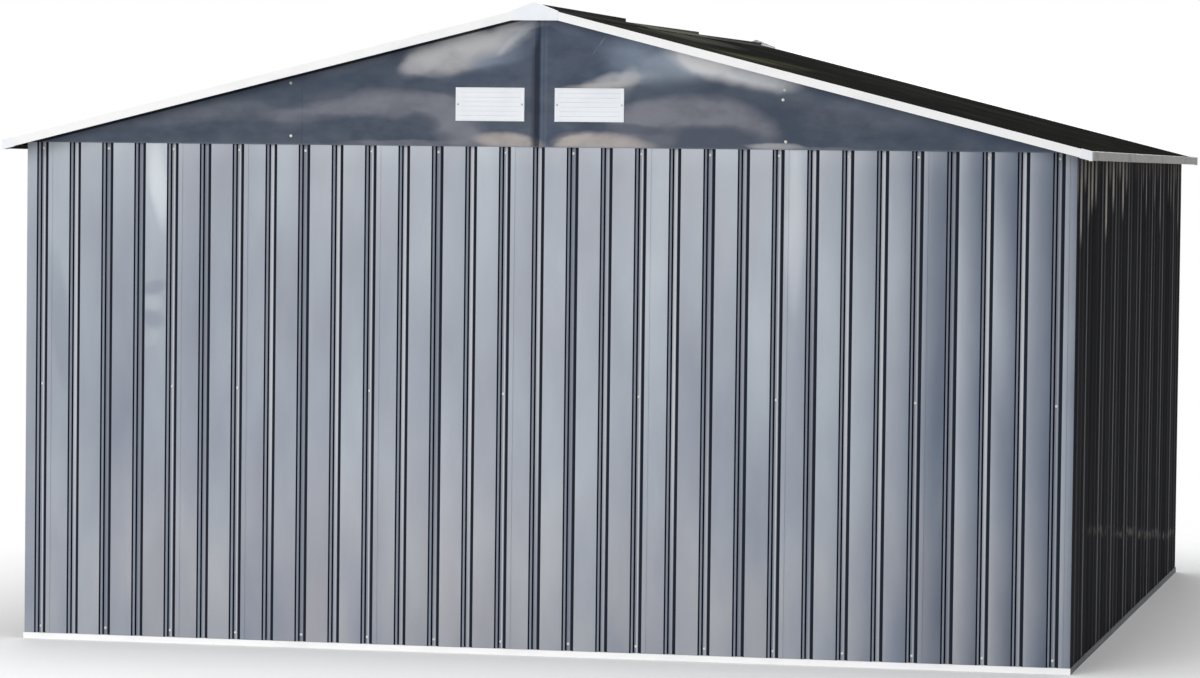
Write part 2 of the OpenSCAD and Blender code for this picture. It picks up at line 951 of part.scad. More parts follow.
base_rail_back();
base_rail_right();
base_rail_door();
base_rail_left();
corner_sheet_back_right();
corner_sheet_door_right();
corner_sheet_door_left();
corner_sheet_back_left();
back_wall_sheets();
right_wall_sheets();
left_wall_sheets();
door_wall_sheets_right();
door_wall_sheets_left();
top_rail_back();
top_rail_right();
top_rail_door();
top_rail_left();
mid_rails();
ridge_beam();
roof_purlins();
gable_sheets_back_left();
gable_sheets_back_right();
gable_sheets_door_left();
gable_sheets_door_right();
vent_back_left();
vent_back_right();
vent_door_left();
vent_door_right();
roof_sheets_left();
roof_sheets_right();
ridge_caps();
rake_trim_back_left();
rake_trim_back_right();
rake_trim_door_left();
rake_trim_door_right();
eave_trim_left();
eave_trim_right();
peak_cap_back();
peak_cap_door();
roof_corner_caps();
door_left();
door_right();
door_track();
door_frame();
door_handles();
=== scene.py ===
"""Looks of the metal storage shed: ribbed sheets with rounded bends, screws, vents, paint and studio."""

import json
import math

import bmesh
import bpy
from mathutils import Matrix, Vector, noise


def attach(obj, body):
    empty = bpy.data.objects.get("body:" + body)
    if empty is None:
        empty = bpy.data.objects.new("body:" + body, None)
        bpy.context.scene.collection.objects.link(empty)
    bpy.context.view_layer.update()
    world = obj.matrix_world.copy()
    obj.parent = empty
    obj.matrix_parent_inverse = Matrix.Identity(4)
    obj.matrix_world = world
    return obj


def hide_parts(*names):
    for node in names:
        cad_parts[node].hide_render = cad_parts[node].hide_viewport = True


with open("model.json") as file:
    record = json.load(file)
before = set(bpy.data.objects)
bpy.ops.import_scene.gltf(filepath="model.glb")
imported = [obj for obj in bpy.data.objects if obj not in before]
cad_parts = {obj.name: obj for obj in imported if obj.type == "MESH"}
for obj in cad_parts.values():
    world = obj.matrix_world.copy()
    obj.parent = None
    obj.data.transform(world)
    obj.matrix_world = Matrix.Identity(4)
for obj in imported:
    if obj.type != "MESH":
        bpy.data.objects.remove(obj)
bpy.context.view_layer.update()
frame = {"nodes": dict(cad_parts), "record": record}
scene = bpy.context.scene

# Sizes of the shed, in metres; the origin is on the ground under the middle of the roof
PITCH = 0.1065
GROOVE_OPEN = 0.0345
GROOVE_FLOOR = 0.0185
GROOVE_DEPTH = 0.0105
SHEET_T = 0.0005
LAP_STEP = 0.00132
LAP_TAIL = 0.014
BACK_BAYS = 31
SIDE_BAYS = 34
DOOR_BAYS = 15
CORNER_GROOVES = 3
BACK_LEN = BACK_BAYS * PITCH
SIDE_LEN = SIDE_BAYS * PITCH
GABLE_START = PITCH / 2
SIDE_START = PITCH
SHEET_FOOT = 0.0193
WALL_TOP = 1.56298
GABLE_WALL_TOP = 1.56898
ROOF_PITCH = math.radians(14.05)
EAVE_X = BACK_LEN / 2 + 0.05
RAKE_Y = SIDE_LEN / 2 + 0.086
EAVE_Z = 1.568
SLOPE = math.tan(ROOF_PITCH)
TRIM_APEX = EAVE_Z + EAVE_X * SLOPE
SHEET_APEX = TRIM_APEX - 0.0041 / math.cos(ROOF_PITCH)
# How far the roof sheets stop short of the trims, and where they start below the ridge
ROOF_EDGE_GAP = 0.0011
ROOF_SHEET_START = 0.023
# The closed doors: their place behind the wall's face, their overlap at the sides, half the gap between them
DOOR_V = 0.01642
DOOR_OVERLAP = 0.03
DOOR_GAP = 0.001
DOOR_LEAF = DOOR_BAYS * PITCH / 2 + DOOR_OVERLAP - DOOR_GAP
DOOR_FOLD = 0.012
DOOR_FOOT = 0.008
DOOR_TOP = 1.51788
# Place of the first groove of a closed door, from the middle of the doorway
DOOR_GROOVE = 0.095375
# Radius of the bends, and how finely the meshes are divided: flats wider than this get steps across,
# and sheets get rows along
BEND_R = 0.0022
BEND_STEPS = 3
WIDE_FLAT = 0.04
FLAT_STEPS = 7
WALL_ROWS = 34
DOOR_ROWS = 24
ROOF_ROWS = 12

# Ribbed sheets


def groove_u(k, start):
    """Place of groove k along a wall whose first groove lies at start."""
    return start + (k - 1) * PITCH


def groove_bends(c):
    """The four bends of a groove whose middle lies at c."""
    half, floor = GROOVE_OPEN / 2, GROOVE_FLOOR / 2
    return [(c - half, 0.0), (c - floor, GROOVE_DEPTH), (c + floor, GROOVE_DEPTH), (c + half, 0.0)]


def lap_rise(u, first, last, start):
    """Depth of a lapped sheet's flats, which rise from the inner layer to the outer one."""
    a, b = groove_u(first, start), groove_u(last, start)
    return LAP_STEP * max(0.0, min(1.0, (b - u) / (b - a)))


def ribbed_bends(u0, u1, grooves, start, laps=None):
    """Bends of one ribbed sheet from u0 to u1, with a rise between its laps."""
    flat = [(u0, 0.0)]
    for k in grooves:
        flat += groove_bends(groove_u(k, start))
    flat.append((u1, 0.0))
    if laps is None:
        return flat
    return [(u, v + lap_rise(u, laps[0], laps[1], start)) for u, v in flat]


def rounded(bends, radius):
    """Rounds a line's bends and adds points across its wide flats; each point has a weight for waviness."""
    line = [(bends[0][0], bends[0][1], 0.0)]
    for i in range(1, len(bends) - 1):
        here = Vector(bends[i])
        back = Vector(bends[i - 1]) - here
        on = Vector(bends[i + 1]) - here
        turn = math.pi - back.angle(on)
        cut = min(radius * math.tan(turn / 2), back.length * 0.45, on.length * 0.45)
        start, end = here + back.normalized() * cut, here + on.normalized() * cut
        for j in range(BEND_STEPS + 1):
            f = j / BEND_STEPS
            p = (1 - f) ** 2 * start + 2 * f * (1 - f) * here + f * f * end
            line.append((p.x, p.y, 0.0))
    line.append((bends[-1][0], bends[-1][1], 0.0))
    full = [line[0]]
    for a, b in zip(line, line[1:]):
        length = math.hypot(b[0] - a[0], b[1] - a[1])
        if length > WIDE_FLAT:
            for j in range(1, FLAT_STEPS):
                f = j / FLAT_STEPS
                weight = math.sin(math.pi * f) ** 1.5
                full.append((a[0] + f * (b[0] - a[0]), a[1] + f * (b[1] - a[1]), weight))
        full.append(b)
    return full


def inner_line(line, thickness):
    """The same line, moved into the shed by the thickness of the sheet."""
    moved = []
    for i, (u, v, weight) in enumerate(line):
        before = line[max(i - 1, 0)]
        after = line[min(i + 1, len(line) - 1)]
        along = Vector((after[0] - before[0], after[1] - before[1])).normalized()
        moved.append((u - along.y * thickness, v + along.x * thickness, weight))
    return moved


def add_piece(name, verts, faces, body="root"):
    """Makes a mesh from points and faces, and puts it on a body."""
    mesh = bpy.data.meshes.new(name)
    mesh.from_pydata(verts, [], faces)
    mesh.update()
    piece = bpy.data.objects.new(name, mesh)
    scene.collection.objects.link(piece)
    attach(piece, body)
    return piece


def shade(piece, angle=40.0):
    """Smooth shading with sharp edges where faces meet at more than the angle."""
    mesh = piece.data
    mesh.shade_smooth()
    mesh.set_sharp_from_angle(angle=math.radians(angle))


def sheet_faces(verts, faces, bends, stations, place, wave):
    """Adds one sheet: its outer and inner skins from station to station, and the four edges between them."""
    outer = rounded(bends, BEND_R)
    inner = inner_line(outer, SHEET_T)
    count = len(outer)
    base = len(verts)
    for s in stations:
        for line in (outer, inner):
            for (u, v, weight), outer_point in zip(line, outer):
                verts.append(place(u, v + weight * wave(outer_point[0], s), s))
    rows = len(stations)
    for r in range(rows - 1):
        low, high = base + r * 2 * count, base + (r + 1) * 2 * count
        for i in range(count - 1):
            faces.append((low + i, low + i + 1, high + i + 1, high + i))
            faces.append((low + count + i + 1, low + count + i, high + count + i, high + count + i + 1))
        faces.append((low + count, low, high, high + count))
        faces.append((low + count - 1, low + 2 * count - 1, high + 2 * count - 1, high + count - 1))
    last = base + (rows - 1) * 2 * count
    for i in range(count - 1):
        faces.append((base + i + 1, base + i, base + count + i, base + count + i + 1))
        faces.append((last + i, last + i + 1, last + count + i + 1, last + count + i))


def spread(low, high, count):
    """Evenly spaced values from low to high, with count steps between them."""
    return [low + (high - low) * i / count for i in range(count + 1)]


def wall_place(side):
    """Turns a place along, into and up a wall into a point; walls: 0 back, 1 right, 2 door, 3 left."""
    along = BACK_LEN if side % 2 == 0 else SIDE_LEN
    across = SIDE_LEN if side % 2 == 0 else BACK_LEN
    turn = Matrix.Rotation(math.pi / 2 * side, 4, "Z") @ Matrix.Translation((-along / 2, -across / 2, 0))
    return lambda u, v, z: turn @ Vector((u, v, z))


def fade(z, low, high, reach):
    """0 at the ends of a span and 1 inside it."""
    return max(0.0, min(1.0, (z - low) / reach, (high - z) / reach))


# Waviness of the pans, in metres, and how far from a sheet's ends it fades out
PAN_SWELL = 0.0011
PAN_RIPPLE = 0.0006
WAVE_FADE = 0.09
# Dents of the back wall: place along the wall, height, half width, half height, depth
BACK_DENTS = [
    (0.407, 1.136, 0.030, 0.055, 0.0016),
    (0.409, 0.980, 0.028, 0.080, -0.0012),
    (0.413, 1.418, 0.030, 0.090, 0.0012),
    (0.143, 1.289, 0.026, 0.100, 0.0011),
    (1.020, 1.330, 0.030, 0.160, -0.0009),
    (2.200, 1.250, 0.030, 0.200, 0.0009),
    (2.740, 1.060, 0.030, 0.180, -0.0011),
    (3.050, 1.330, 0.030, 0.120, 0.0010),
]


def wall_wave(seed, top, dents=()):
    """Waviness of the pans between the grooves, with a few dents."""

    def wave(u, z):
        """How far a pan lies behind its flat place."""
        pan = math.floor(u / PITCH + 0.5)
        swell = noise.noise(Vector((pan * 7.3 + seed, z * 2.2, seed * 1.7))) * PAN_SWELL
        ripple = noise.noise(Vector((u * 16.0, z * 5.0, seed + 9.0))) * PAN_RIPPLE
        dent = 0.0
        for du, dz, half_u, half_z, depth in dents:
            dent += depth * math.exp(-((u - du) / half_u) ** 2 - ((z - dz) / half_z) ** 2)
        return (swell + ripple + dent) * fade(z, SHEET_FOOT, top, WAVE_FADE)

    return wave


def no_wave(u, s):
    """A sheet with no waviness."""
    return 0.0


def lap_start(k, start):
    """Where a sheet begins whose first groove is groove k."""
    return groove_u(k, start) - GROOVE_OPEN / 2 - LAP_TAIL


def lap_end(k, start):
    """Where a sheet ends whose last groove is groove k."""
    return groove_u(k, start) + GROOVE_OPEN / 2 + LAP_TAIL


def wall_sheets(name, side, sheets, start, top, seed, dents=()):
    """The sheets of one wall; each sheet is (u0, u1, first groove, last groove)."""
    verts, faces = [], []
    stations = spread(SHEET_FOOT, top, WALL_ROWS)
    for u0, u1, first, last in sheets:
        bends = ribbed_bends(u0, u1, range(first, last + 1), start, (first, last))
        sheet_faces(verts, faces, bends, stations, wall_place(side), wall_wave(seed, top, dents))
    piece = add_piece(name, verts, faces)
    shade(piece)
    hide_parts(name)
    return piece


def lapped(laps, start):
    """Sheets that each reach from one lap to the next."""
    return [(lap_start(a, start), lap_end(b, start), a, b) for a, b in zip(laps, laps[1:])]


def leg(count, start):
    """One leg of a corner sheet, with count grooves."""
    line = []
    for k in range(1, count + 1):
        line += groove_bends(groove_u(k, start))
    return line + [(lap_end(count, start), 0.0)]


def corner_sheet(name, centre, turns, leg_before, leg_after):
    """A corner sheet: one leg lies under its wall's last sheet, the next one over the first of its wall."""
    before = [(-u, v + LAP_STEP) for u, v in reversed([(0.0, 0.0)] + leg_before)]
    after = [(-v, u) for u, v in leg_after]
    turn = Matrix.Translation((*centre, 0)) @ Matrix.Rotation(math.pi / 2 * turns, 4, "Z")
    verts, faces = [], []

    def place(u, v, z):
        """A point of the sheet, lowered where it would reach into the roof sheets."""
        p = turn @ Vector((u, v, z))
        seat = WALL_TOP + (BACK_LEN / 2 - abs(p.x)) * SLOPE
        return Vector((p.x, p.y, min(p.z, seat)))

    sheet_faces(verts, faces, before + after, spread(SHEET_FOOT, GABLE_WALL_TOP, WALL_ROWS), place, no_wave)
    piece = add_piece(name, verts, faces)
    shade(piece)
    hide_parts(name)
    return piece


def roof_sheets(name, side):
    """The ribbed sheets of one roof slope, laid from the ridge down to the eave."""
    sign = 1 if side == "right" else -1
    bays = SIDE_BAYS + 1
    middle = bays * PITCH / 2
    start = PITCH / 2
    end = RAKE_Y - ROOF_EDGE_GAP
    laps = list(range(1, bays - 1, 4)) + [bays]
    turn = Matrix.Translation((0, 0, SHEET_APEX)) @ Matrix.Rotation(ROOF_PITCH, 4, "Y")
    verts, faces = [], []

    def place(u, v, s):
        """A point at u along the eave, v into the sheet and s down the slope."""
        p = turn @ Vector((s, u - middle, -v))
        return Vector((sign * p.x, p.y, p.z))

    stations = spread(ROOF_SHEET_START, (EAVE_X - ROOF_EDGE_GAP) / math.cos(ROOF_PITCH), ROOF_ROWS)
    for i, (a, b) in enumerate(zip(laps, laps[1:])):
        u0 = middle - end if i == 0 else lap_start(a, start)
        u1 = middle + end if i == len(laps) - 2 else lap_end(b, start)
        bends = ribbed_bends(u0, u1, range(a, b + 1), start, (a, b))
        sheet_faces(verts, faces, bends, stations, place, no_wave)
    if side == "right":
        faces = [tuple(reversed(f)) for f in faces]
    piece = add_piece(name, verts, faces)
    shade(piece)
    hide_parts(name)
    return piece


def door_leaf(name, mirrored):
    """One sliding door: a ribbed sheet with folded edges, seen from outside at the door end."""
    count = int((DOOR_LEAF - GROOVE_OPEN) / PITCH)
    start = (DOOR_LEAF - count * PITCH) / 2 + PITCH / 2
    bends = [(0.0, DOOR_FOLD), (0.0, 0.0)]
    for k in range(1, count + 1):
        bends += groove_bends(groove_u(k, start))
    bends += [(DOOR_LEAF, 0.0), (DOOR_LEAF, DOOR_FOLD)]
    on_wall = wall_place(2)
    sign = -1 if mirrored else 1

    def place(u, v, z):
        """A point at u from the middle of the doorway, v into the door and z up."""
        p = on_wall(BACK_LEN / 2 + DOOR_GAP + u, DOOR_V + v, z)
        return Vector((sign * p.x, p.y, p.z))

    verts, faces = [], []
    sheet_faces(verts, faces, bends, spread(DOOR_FOOT, DOOR_TOP, DOOR_ROWS), place, no_wave)
    if mirrored:
        faces = [tuple(reversed(f)) for f in faces]
    piece = add_piece(name, verts, faces)
    shade(piece)
    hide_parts(name)
    return piece


# Grooves at which the sheets of a wall lap; the door wall has some on each side of its doorway
BACK_LAPS = [1, 5] + list(range(7, BACK_BAYS + 1, 4))
SIDE_LAPS = list(range(CORNER_GROOVES, SIDE_BAYS - CORNER_GROOVES + 1, 4))
DOOR_RIGHT_LAPS = [1, 5]
DOOR_LEFT_LAPS = [BACK_BAYS - 4, BACK_BAYS]
DOORWAY_U = (BACK_BAYS - DOOR_BAYS) / 2 * PITCH
# Last groove before the doorway and first one after it
DOOR_FIRST = (BACK_BAYS - DOOR_BAYS) // 2
DOOR_LAST = BACK_BAYS - DOOR_FIRST + 1

back_sheets = wall_sheets("back_wall_sheets", 0, lapped(BACK_LAPS, GABLE_START), GABLE_START,
                          GABLE_WALL_TOP, 1.0, BACK_DENTS)
right_sheets = wall_sheets("right_wall_sheets", 1, lapped(SIDE_LAPS, SIDE_START), SIDE_START, WALL_TOP, 2.0)
left_sheets = wall_sheets("left_wall_sheets", 3, lapped(SIDE_LAPS, SIDE_START), SIDE_START, WALL_TOP, 3.0)
door_right_sheets = wall_sheets(
    "door_wall_sheets_right", 2,
    lapped(DOOR_RIGHT_LAPS, GABLE_START)
    + [(lap_start(DOOR_RIGHT_LAPS[1], GABLE_START), DOORWAY_U, DOOR_RIGHT_LAPS[1], DOOR_FIRST)],
    GABLE_START, GABLE_WALL_TOP, 4.0)
door_left_sheets = wall_sheets(
    "door_wall_sheets_left", 2,
    [(BACK_LEN - DOORWAY_U, lap_end(DOOR_LEFT_LAPS[0], GABLE_START), DOOR_LAST, DOOR_LEFT_LAPS[0])]
    + lapped(DOOR_LEFT_LAPS, GABLE_START),
    GABLE_START, GABLE_WALL_TOP, 5.0)
GABLE_LEG = leg(1, GABLE_START)
SIDE_LEG = leg(CORNER_GROOVES, SIDE_START)
corner_sheets = [
    corner_sheet("corner_sheet_back_right", (BACK_LEN / 2, -SIDE_LEN / 2), 0, GABLE_LEG, SIDE_LEG),
    corner_sheet("corner_sheet_door_right", (BACK_LEN / 2, SIDE_LEN / 2), 1, SIDE_LEG, GABLE_LEG),
    corner_sheet("corner_sheet_door_left", (-BACK_LEN / 2, SIDE_LEN / 2), 2, GABLE_LEG, SIDE_LEG),
    corner_sheet("corner_sheet_back_left", (-BACK_LEN / 2, -SIDE_LEN / 2), 3, SIDE_LEG, GABLE_LEG),
]
roofs = [roof_sheets("roof_sheets_left", "left"), roof_sheets("roof_sheets_right", "right")]
doors = [door_leaf("door_left", False), door_leaf("door_right", True)]

# Screws with washers


def lathe(profile, count, turn, verts, faces):
    """Adds a turned form: profile points (radius, height) round an axis, placed by a matrix."""
    base = len(verts)
    for radius, height in profile:
        for i in range(count):
            a = 2 * math.pi * i / count
            verts.append(turn @ Vector((radius * math.cos(a), radius * math.sin(a), height)))
    for row in range(len(profile) - 1):
        for i in range(count):
            j = (i + 1) % count
            low, high = base + row * count, base + (row + 1) * count
            faces.append((low + i, low + j, high + j, high + i))
    top = base + (len(profile) - 1) * count
    faces.append(tuple(top + i for i in range(count)))
    faces.append(tuple(base + i for i in reversed(range(count))))


# Half outlines of a washer and of a screw head, as (radius, height)
WASHER = [(0.0046, 0.0), (0.0046, 0.0006), (0.0041, 0.0010), (0.0034, 0.0011)]
HEAD = [(0.0032, 0.0), (0.0032, 0.0018), (0.0027, 0.0027), (0.0016, 0.0032), (0.0007, 0.0033)]
HEAD_SIDES = 10
WASHER_SIDES = 12


def outwards(point, normal):
    """Matrix that puts local Z along the normal at a point."""
    turn = Vector(normal).to_track_quat("Z", "Y").to_matrix().to_4x4()
    return Matrix.Translation(point) @ turn


def add_screws(name, places, washers=True):
    """One mesh of screw heads and one of washers, at (point, normal) places."""
    verts, faces = [], []
    for point, normal in places:
        lathe(HEAD, HEAD_SIDES, outwards(point, normal), verts, faces)
    heads = add_piece(name, verts, faces)
    shade(heads, 50)
    pieces = [heads]
    if washers:
        verts, faces = [], []
        for point, normal in places:
            lathe(WASHER, WASHER_SIDES, outwards(point, normal), verts, faces)
        rings = add_piece(name + "_washers", verts, faces)
        shade(rings, 50)
        pieces.append(rings)
    return pieces


FOOT_SCREW_Z = 0.040
TOP_SCREW_Z = 1.546
MID_SCREW_Z = 0.805


def wall_screw_places(side, start, grooves, laps):
    """Screws of one wall: at the foot and top of every second groove, and half way up where sheets lap."""
    place = wall_place(side)
    normal = place(0, -1, 0) - place(0, 0, 0)
    places = []
    for k in grooves:
        u = groove_u(k, start)
        inside = [(a, b) for a, b in zip(laps, laps[1:]) if a < k <= b]
        rise = lap_rise(u, *inside[0], start) if inside else 0.0
        heights = []
        if k % 2 == 1:
            heights += [FOOT_SCREW_Z, TOP_SCREW_Z]
        if k in laps:
            heights.append(MID_SCREW_Z)
        places += [(place(u, GROOVE_DEPTH + rise, z), normal) for z in heights]
    return places


wall_screws = []
wall_screws += wall_screw_places(0, GABLE_START, range(1, BACK_BAYS + 1), BACK_LAPS)
for wall in (1, 3):
    wall_screws += wall_screw_places(wall, SIDE_START, range(1, SIDE_BAYS), SIDE_LAPS)
right_grooves = range(1, DOOR_FIRST + 1)
left_grooves = range(DOOR_LAST, BACK_BAYS + 1)
wall_screws += wall_screw_places(2, GABLE_START, right_grooves, DOOR_RIGHT_LAPS)
wall_screws += wall_screw_places(2, GABLE_START, left_grooves, DOOR_LEFT_LAPS)
wall_screw_pieces = add_screws("wall_screws", wall_screws)

# Screws of the gables, at the joints of their sheets, and of the vents: place across and height
GABLE_SCREWS = [(-0.792, 1.755), (-0.790, 1.591), (0.761, 1.745), (0.756, 1.715), (0.766, 1.588)]
GABLE_SCREW_PROUD = 0.0016
# Middle of a vent across and up, and its screws
VENT_X = 0.156
VENT_Z = 1.694
VENT_SCREW_X = 0.101
VENT_SCREW_PROUD = 0.0036
VENT_SCREWS = [(sign * (VENT_X + side * VENT_SCREW_X), VENT_Z) for sign in (-1, 1) for side in (-1, 1)]


def end_places(spots, proud):
    """The same places on both gables, as seen from outside, proud of the wall's outermost face."""
    y = SIDE_LEN / 2 + proud
    back = [(Vector((u, -y, z)), (0, -1, 0)) for u, z in spots]
    front = [(Vector((-u, y, z)), (0, 1, 0)) for u, z in spots]
    return back + front


gable_screw_pieces = add_screws("gable_screws", end_places(GABLE_SCREWS, GABLE_SCREW_PROUD))
vent_screw_pieces = add_screws("vent_screws", end_places(VENT_SCREWS, VENT_SCREW_PROUD), washers=False)

# Vents: a frame with a rounded edge, a back plate and louvres; depths are measured out from the gable sheet
VENT_HOLE = (0.0935, 0.0490)
VENT_FACE = 0.0011
# Rings of the frame from its foot round to its back plate: half width, half height, depth
FRAME_RINGS = [
    (0.1085, 0.0515, 0.0), (0.1085, 0.0515, 0.0018), (0.1079, 0.0509, 0.0025),
    (0.0941, 0.0493, 0.0025), (0.0935, 0.0489, 0.0020), (0.0935, 0.0489, 0.0004),
]
# Outline of a louvre, as (depth, height), and how far its ends reach into the frame
LOUVRE = [(0.0005, 0.0), (0.0032, 0.0), (0.0035, 0.0006), (0.0020, 0.0134), (0.0005, 0.0134)]
LOUVRE_SINK = 0.0004
LOUVRE_LIFT = 0.0002
LOUVRE_PITCH = 0.014
LOUVRES = 7


def add_vent(name, end, side):
    """One vent: end is -1 at the back and 1 at the door end, side -1 left and 1 right of the middle."""
    verts, faces = [], []

    def place(across, depth, up):
        """A point of the vent, from its middle."""
        return (side * VENT_X + across, end * (SIDE_LEN / 2 + VENT_FACE + depth), VENT_Z + up)

    for half_x, half_z, depth in FRAME_RINGS:
        for sx, sz in ((-1, -1), (1, -1), (1, 1), (-1, 1)):
            verts.append(place(sx * half_x, depth, sz * half_z))
    rings = len(FRAME_RINGS)
    for r in range(rings - 1):
        for i in range(4):
            j = (i + 1) % 4
            faces.append((4 * r + i, 4 * r + j, 4 * r + 4 + j, 4 * r + 4 + i))
    faces.append(tuple(4 * (rings - 1) + i for i in range(4)))
    faces.append((3, 2, 1, 0))
    reach = VENT_HOLE[0] + LOUVRE_SINK
    for k in range(LOUVRES):
        foot = -VENT_HOLE[1] + k * LOUVRE_PITCH + LOUVRE_LIFT
        base, count = len(verts), len(LOUVRE)
        for across in (-reach, reach):
            for depth, up in LOUVRE:
                verts.append(place(across, depth, foot + up))
        for i in range(count):
            j = (i + 1) % count
            faces.append((base + i, base + j, base + count + j, base + count + i))
        faces.append(tuple(base + i for i in reversed(range(count))))
        faces.append(tuple(base + count + i for i in range(count)))
    piece = add_piece(name, verts, faces)
    work = bmesh.new()
    work.from_mesh(piece.data)
    bmesh.ops.recalc_face_normals(work, faces=work.faces)
    work.to_mesh(piece.data)
    work.free()
    shade(piece, 30)
    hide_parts(name)
    return piece


vents = [
    add_vent("vent_back_left", -1, -1), add_vent("vent_back_right", -1, 1),
    add_vent("vent_door_left", 1, -1), add_vent("vent_door_right", 1, 1),
]

# Materials


class Value:
    """A socket of a finish, with Python's arithmetic as Math nodes."""

    def __init__(self, finish, socket):
        self.finish = finish
        self.socket = socket

    def math(self, operation, first, second=0.0):
        """One Math node."""
        return self.finish.node("ShaderNodeMath", {"operation": operation}, {0: first, 1: second})

    def __add__(self, other):
        return self.math("ADD", self, other)

    def __radd__(self, other):
        return self.math("ADD", other, self)

    def __sub__(self, other):
        return self.math("SUBTRACT", self, other)

    def __rsub__(self, other):
        return self.math("SUBTRACT", other, self)

    def __mul__(self, other):
        return self.math("MULTIPLY", self, other)

    def __rmul__(self, other):
        return self.math("MULTIPLY", other, self)

    def __truediv__(self, other):
        return self.math("DIVIDE", self, other)

    def __mod__(self, other):
        return self.math("FLOORED_MODULO", self, other)

    def __pow__(self, other):
        return self.math("POWER", self, other)

    def __gt__(self, other):
        return self.math("GREATER_THAN", self, other)

    def __lt__(self, other):
        return self.math("LESS_THAN", self, other)

    def __abs__(self):
        return self.math("ABSOLUTE", self)

    def floor(self):
        """The whole number below."""
        return self.math("FLOOR", self)

    def at_least(self, other):
        """The larger one of two values."""
        return self.math("MAXIMUM", self, other)

    def ramp(self, low, high, to_low=0.0, to_high=1.0):
        """A smooth step from to_low at low to to_high at high."""
        settings = {"interpolation_type": "SMOOTHSTEP", "clamp": True}
        inputs = {0: self, 1: low, 2: high, 3: to_low, 4: to_high}
        return self.finish.node("ShaderNodeMapRange", settings, inputs)


class Finish:
    """One material, built up from nodes."""

    def __init__(self, name):
        self.material = bpy.data.materials.new(name)
        self.material.use_nodes = True
        self.tree = self.material.node_tree
        self.tree.nodes.clear()
        self.place = self.node("ShaderNodeTexCoord", output=3)

    def node(self, kind, settings=None, inputs=None, output=0):
        """Adds a node: its settings first, then the values or links of its sockets."""
        made = self.tree.nodes.new(kind)
        for key, value in (settings or {}).items():
            if key == "stops":
                set_stops(made.color_ramp, value)
            else:
                setattr(made, key, value)
        for key, value in (inputs or {}).items():
            if isinstance(value, Value):
                self.tree.links.new(value.socket, made.inputs[key])
            else:
                made.inputs[key].default_value = value
        return Value(self, made.outputs[output])

    def axes(self):
        """The place on the part, as three values in metres."""
        split = self.tree.nodes.new("ShaderNodeSeparateXYZ")
        self.tree.links.new(self.place.socket, split.inputs[0])
        return [Value(self, split.outputs[i]) for i in range(3)]

    def facing(self):
        """The size of the surface normal along each axis."""
        geometry = self.node("ShaderNodeNewGeometry", output="Normal")
        split = self.tree.nodes.new("ShaderNodeSeparateXYZ")
        self.tree.links.new(geometry.socket, split.inputs[0])
        return [abs(Value(self, split.outputs[i])) for i in range(3)]

    def noise(self, place, scale, detail):
        """Noise at a place, from 0 to 1."""
        inputs = {"Vector": place, "Scale": scale, "Detail": detail}
        return self.node("ShaderNodeTexNoise", {"noise_dimensions": "3D"}, inputs)

    def stretched(self, stretch, scale, detail):
        """Noise over the part, stretched along each axis."""
        inputs = {0: self.place, 1: stretch}
        place = self.node("ShaderNodeVectorMath", {"operation": "MULTIPLY"}, inputs)
        return self.noise(place, scale, detail)

    def noise_at(self, x, y, z, detail):
        """Noise at a place that is given as three values."""
        return self.noise(self.node("ShaderNodeCombineXYZ", inputs={0: x, 1: y, 2: z}), 1.0, detail)

    def mix(self, factor, first, second, blend="MIX"):
        """One colour laid over another."""
        return self.node("ShaderNodeMix", {"data_type": "RGBA", "blend_type": blend},
                         {0: factor, 6: first, 7: second}, output=2)

    def tinted(self, factor, colour, tint):
        """A colour multiplied by a tint, as strongly as the factor says."""
        return self.mix(factor, colour, self.mix(1.0, colour, tint, "MULTIPLY"))

    def bump(self, height, strength, distance):
        """A normal for a surface with small heights."""
        inputs = {"Strength": strength, "Distance": distance, "Height": height}
        return self.node("ShaderNodeBump", inputs=inputs)

    def shader(self, **sockets):
        """A Principled shader; socket names are written with underscores."""
        inputs = {key.replace("_", " "): value for key, value in sockets.items()}
        return self.node("ShaderNodeBsdfPrincipled", inputs=inputs)

    def coat(self, colour, roughness, specular, normal):
        """A Principled shader for paint and plastic."""
        return self.shader(Base_Color=colour, Roughness=roughness, Specular_IOR_Level=specular,
                           Normal=normal)

    def output(self, surface):
        """Ends the material with a surface."""
        end = self.tree.nodes.new("ShaderNodeOutputMaterial")
        self.tree.links.new(surface.socket, end.inputs["Surface"])
        return self.material


def set_stops(ramp, stops):
    """Sets a colour ramp's stops, given as (position, colour)."""
    while len(ramp.elements) > 1:
        ramp.elements.remove(ramp.elements[-1])
    ramp.elements[0].position, ramp.elements[0].color = stops[0]
    for position, colour in stops[1:]:
        ramp.elements.new(position).color = colour


def srgb(red, green, blue):
    """A colour given as the eye sees it, 0 to 255, as a shader colour."""

    def linear(c):
        c /= 255
        return c / 12.92 if c <= 0.04045 else ((c + 0.055) / 1.055) ** 2.4

    return (linear(red), linear(green), linear(blue), 1.0)


def patch(a, b, spot, core=0.15, rim=1.7):
    """A soft spot: its middle (2), half sizes (2), tilt in degrees, and strength in the middle."""
    mid_a, mid_b, half_a, half_b, tilt, strength = spot
    cos, sin = math.cos(math.radians(tilt)), math.sin(math.radians(tilt))
    da, db = a - mid_a, b - mid_b
    along = (da * cos + db * sin) / half_a
    up = (db * cos - da * sin) / half_b
    return (along * along + up * up).ramp(core, rim, strength, 0.0)


def stripe(value, middle, core, rim, strength=1.0):
    """A soft stripe: where it lies, half the width of its core and of its rim, and its strength."""
    return abs(value - middle).ramp(core, rim, strength, 0.0)


def outside(y):
    """1 on the back and -1 on the door end, so that both ends look alike from outside."""
    return (y > 0.0) * -2.0 + 1.0


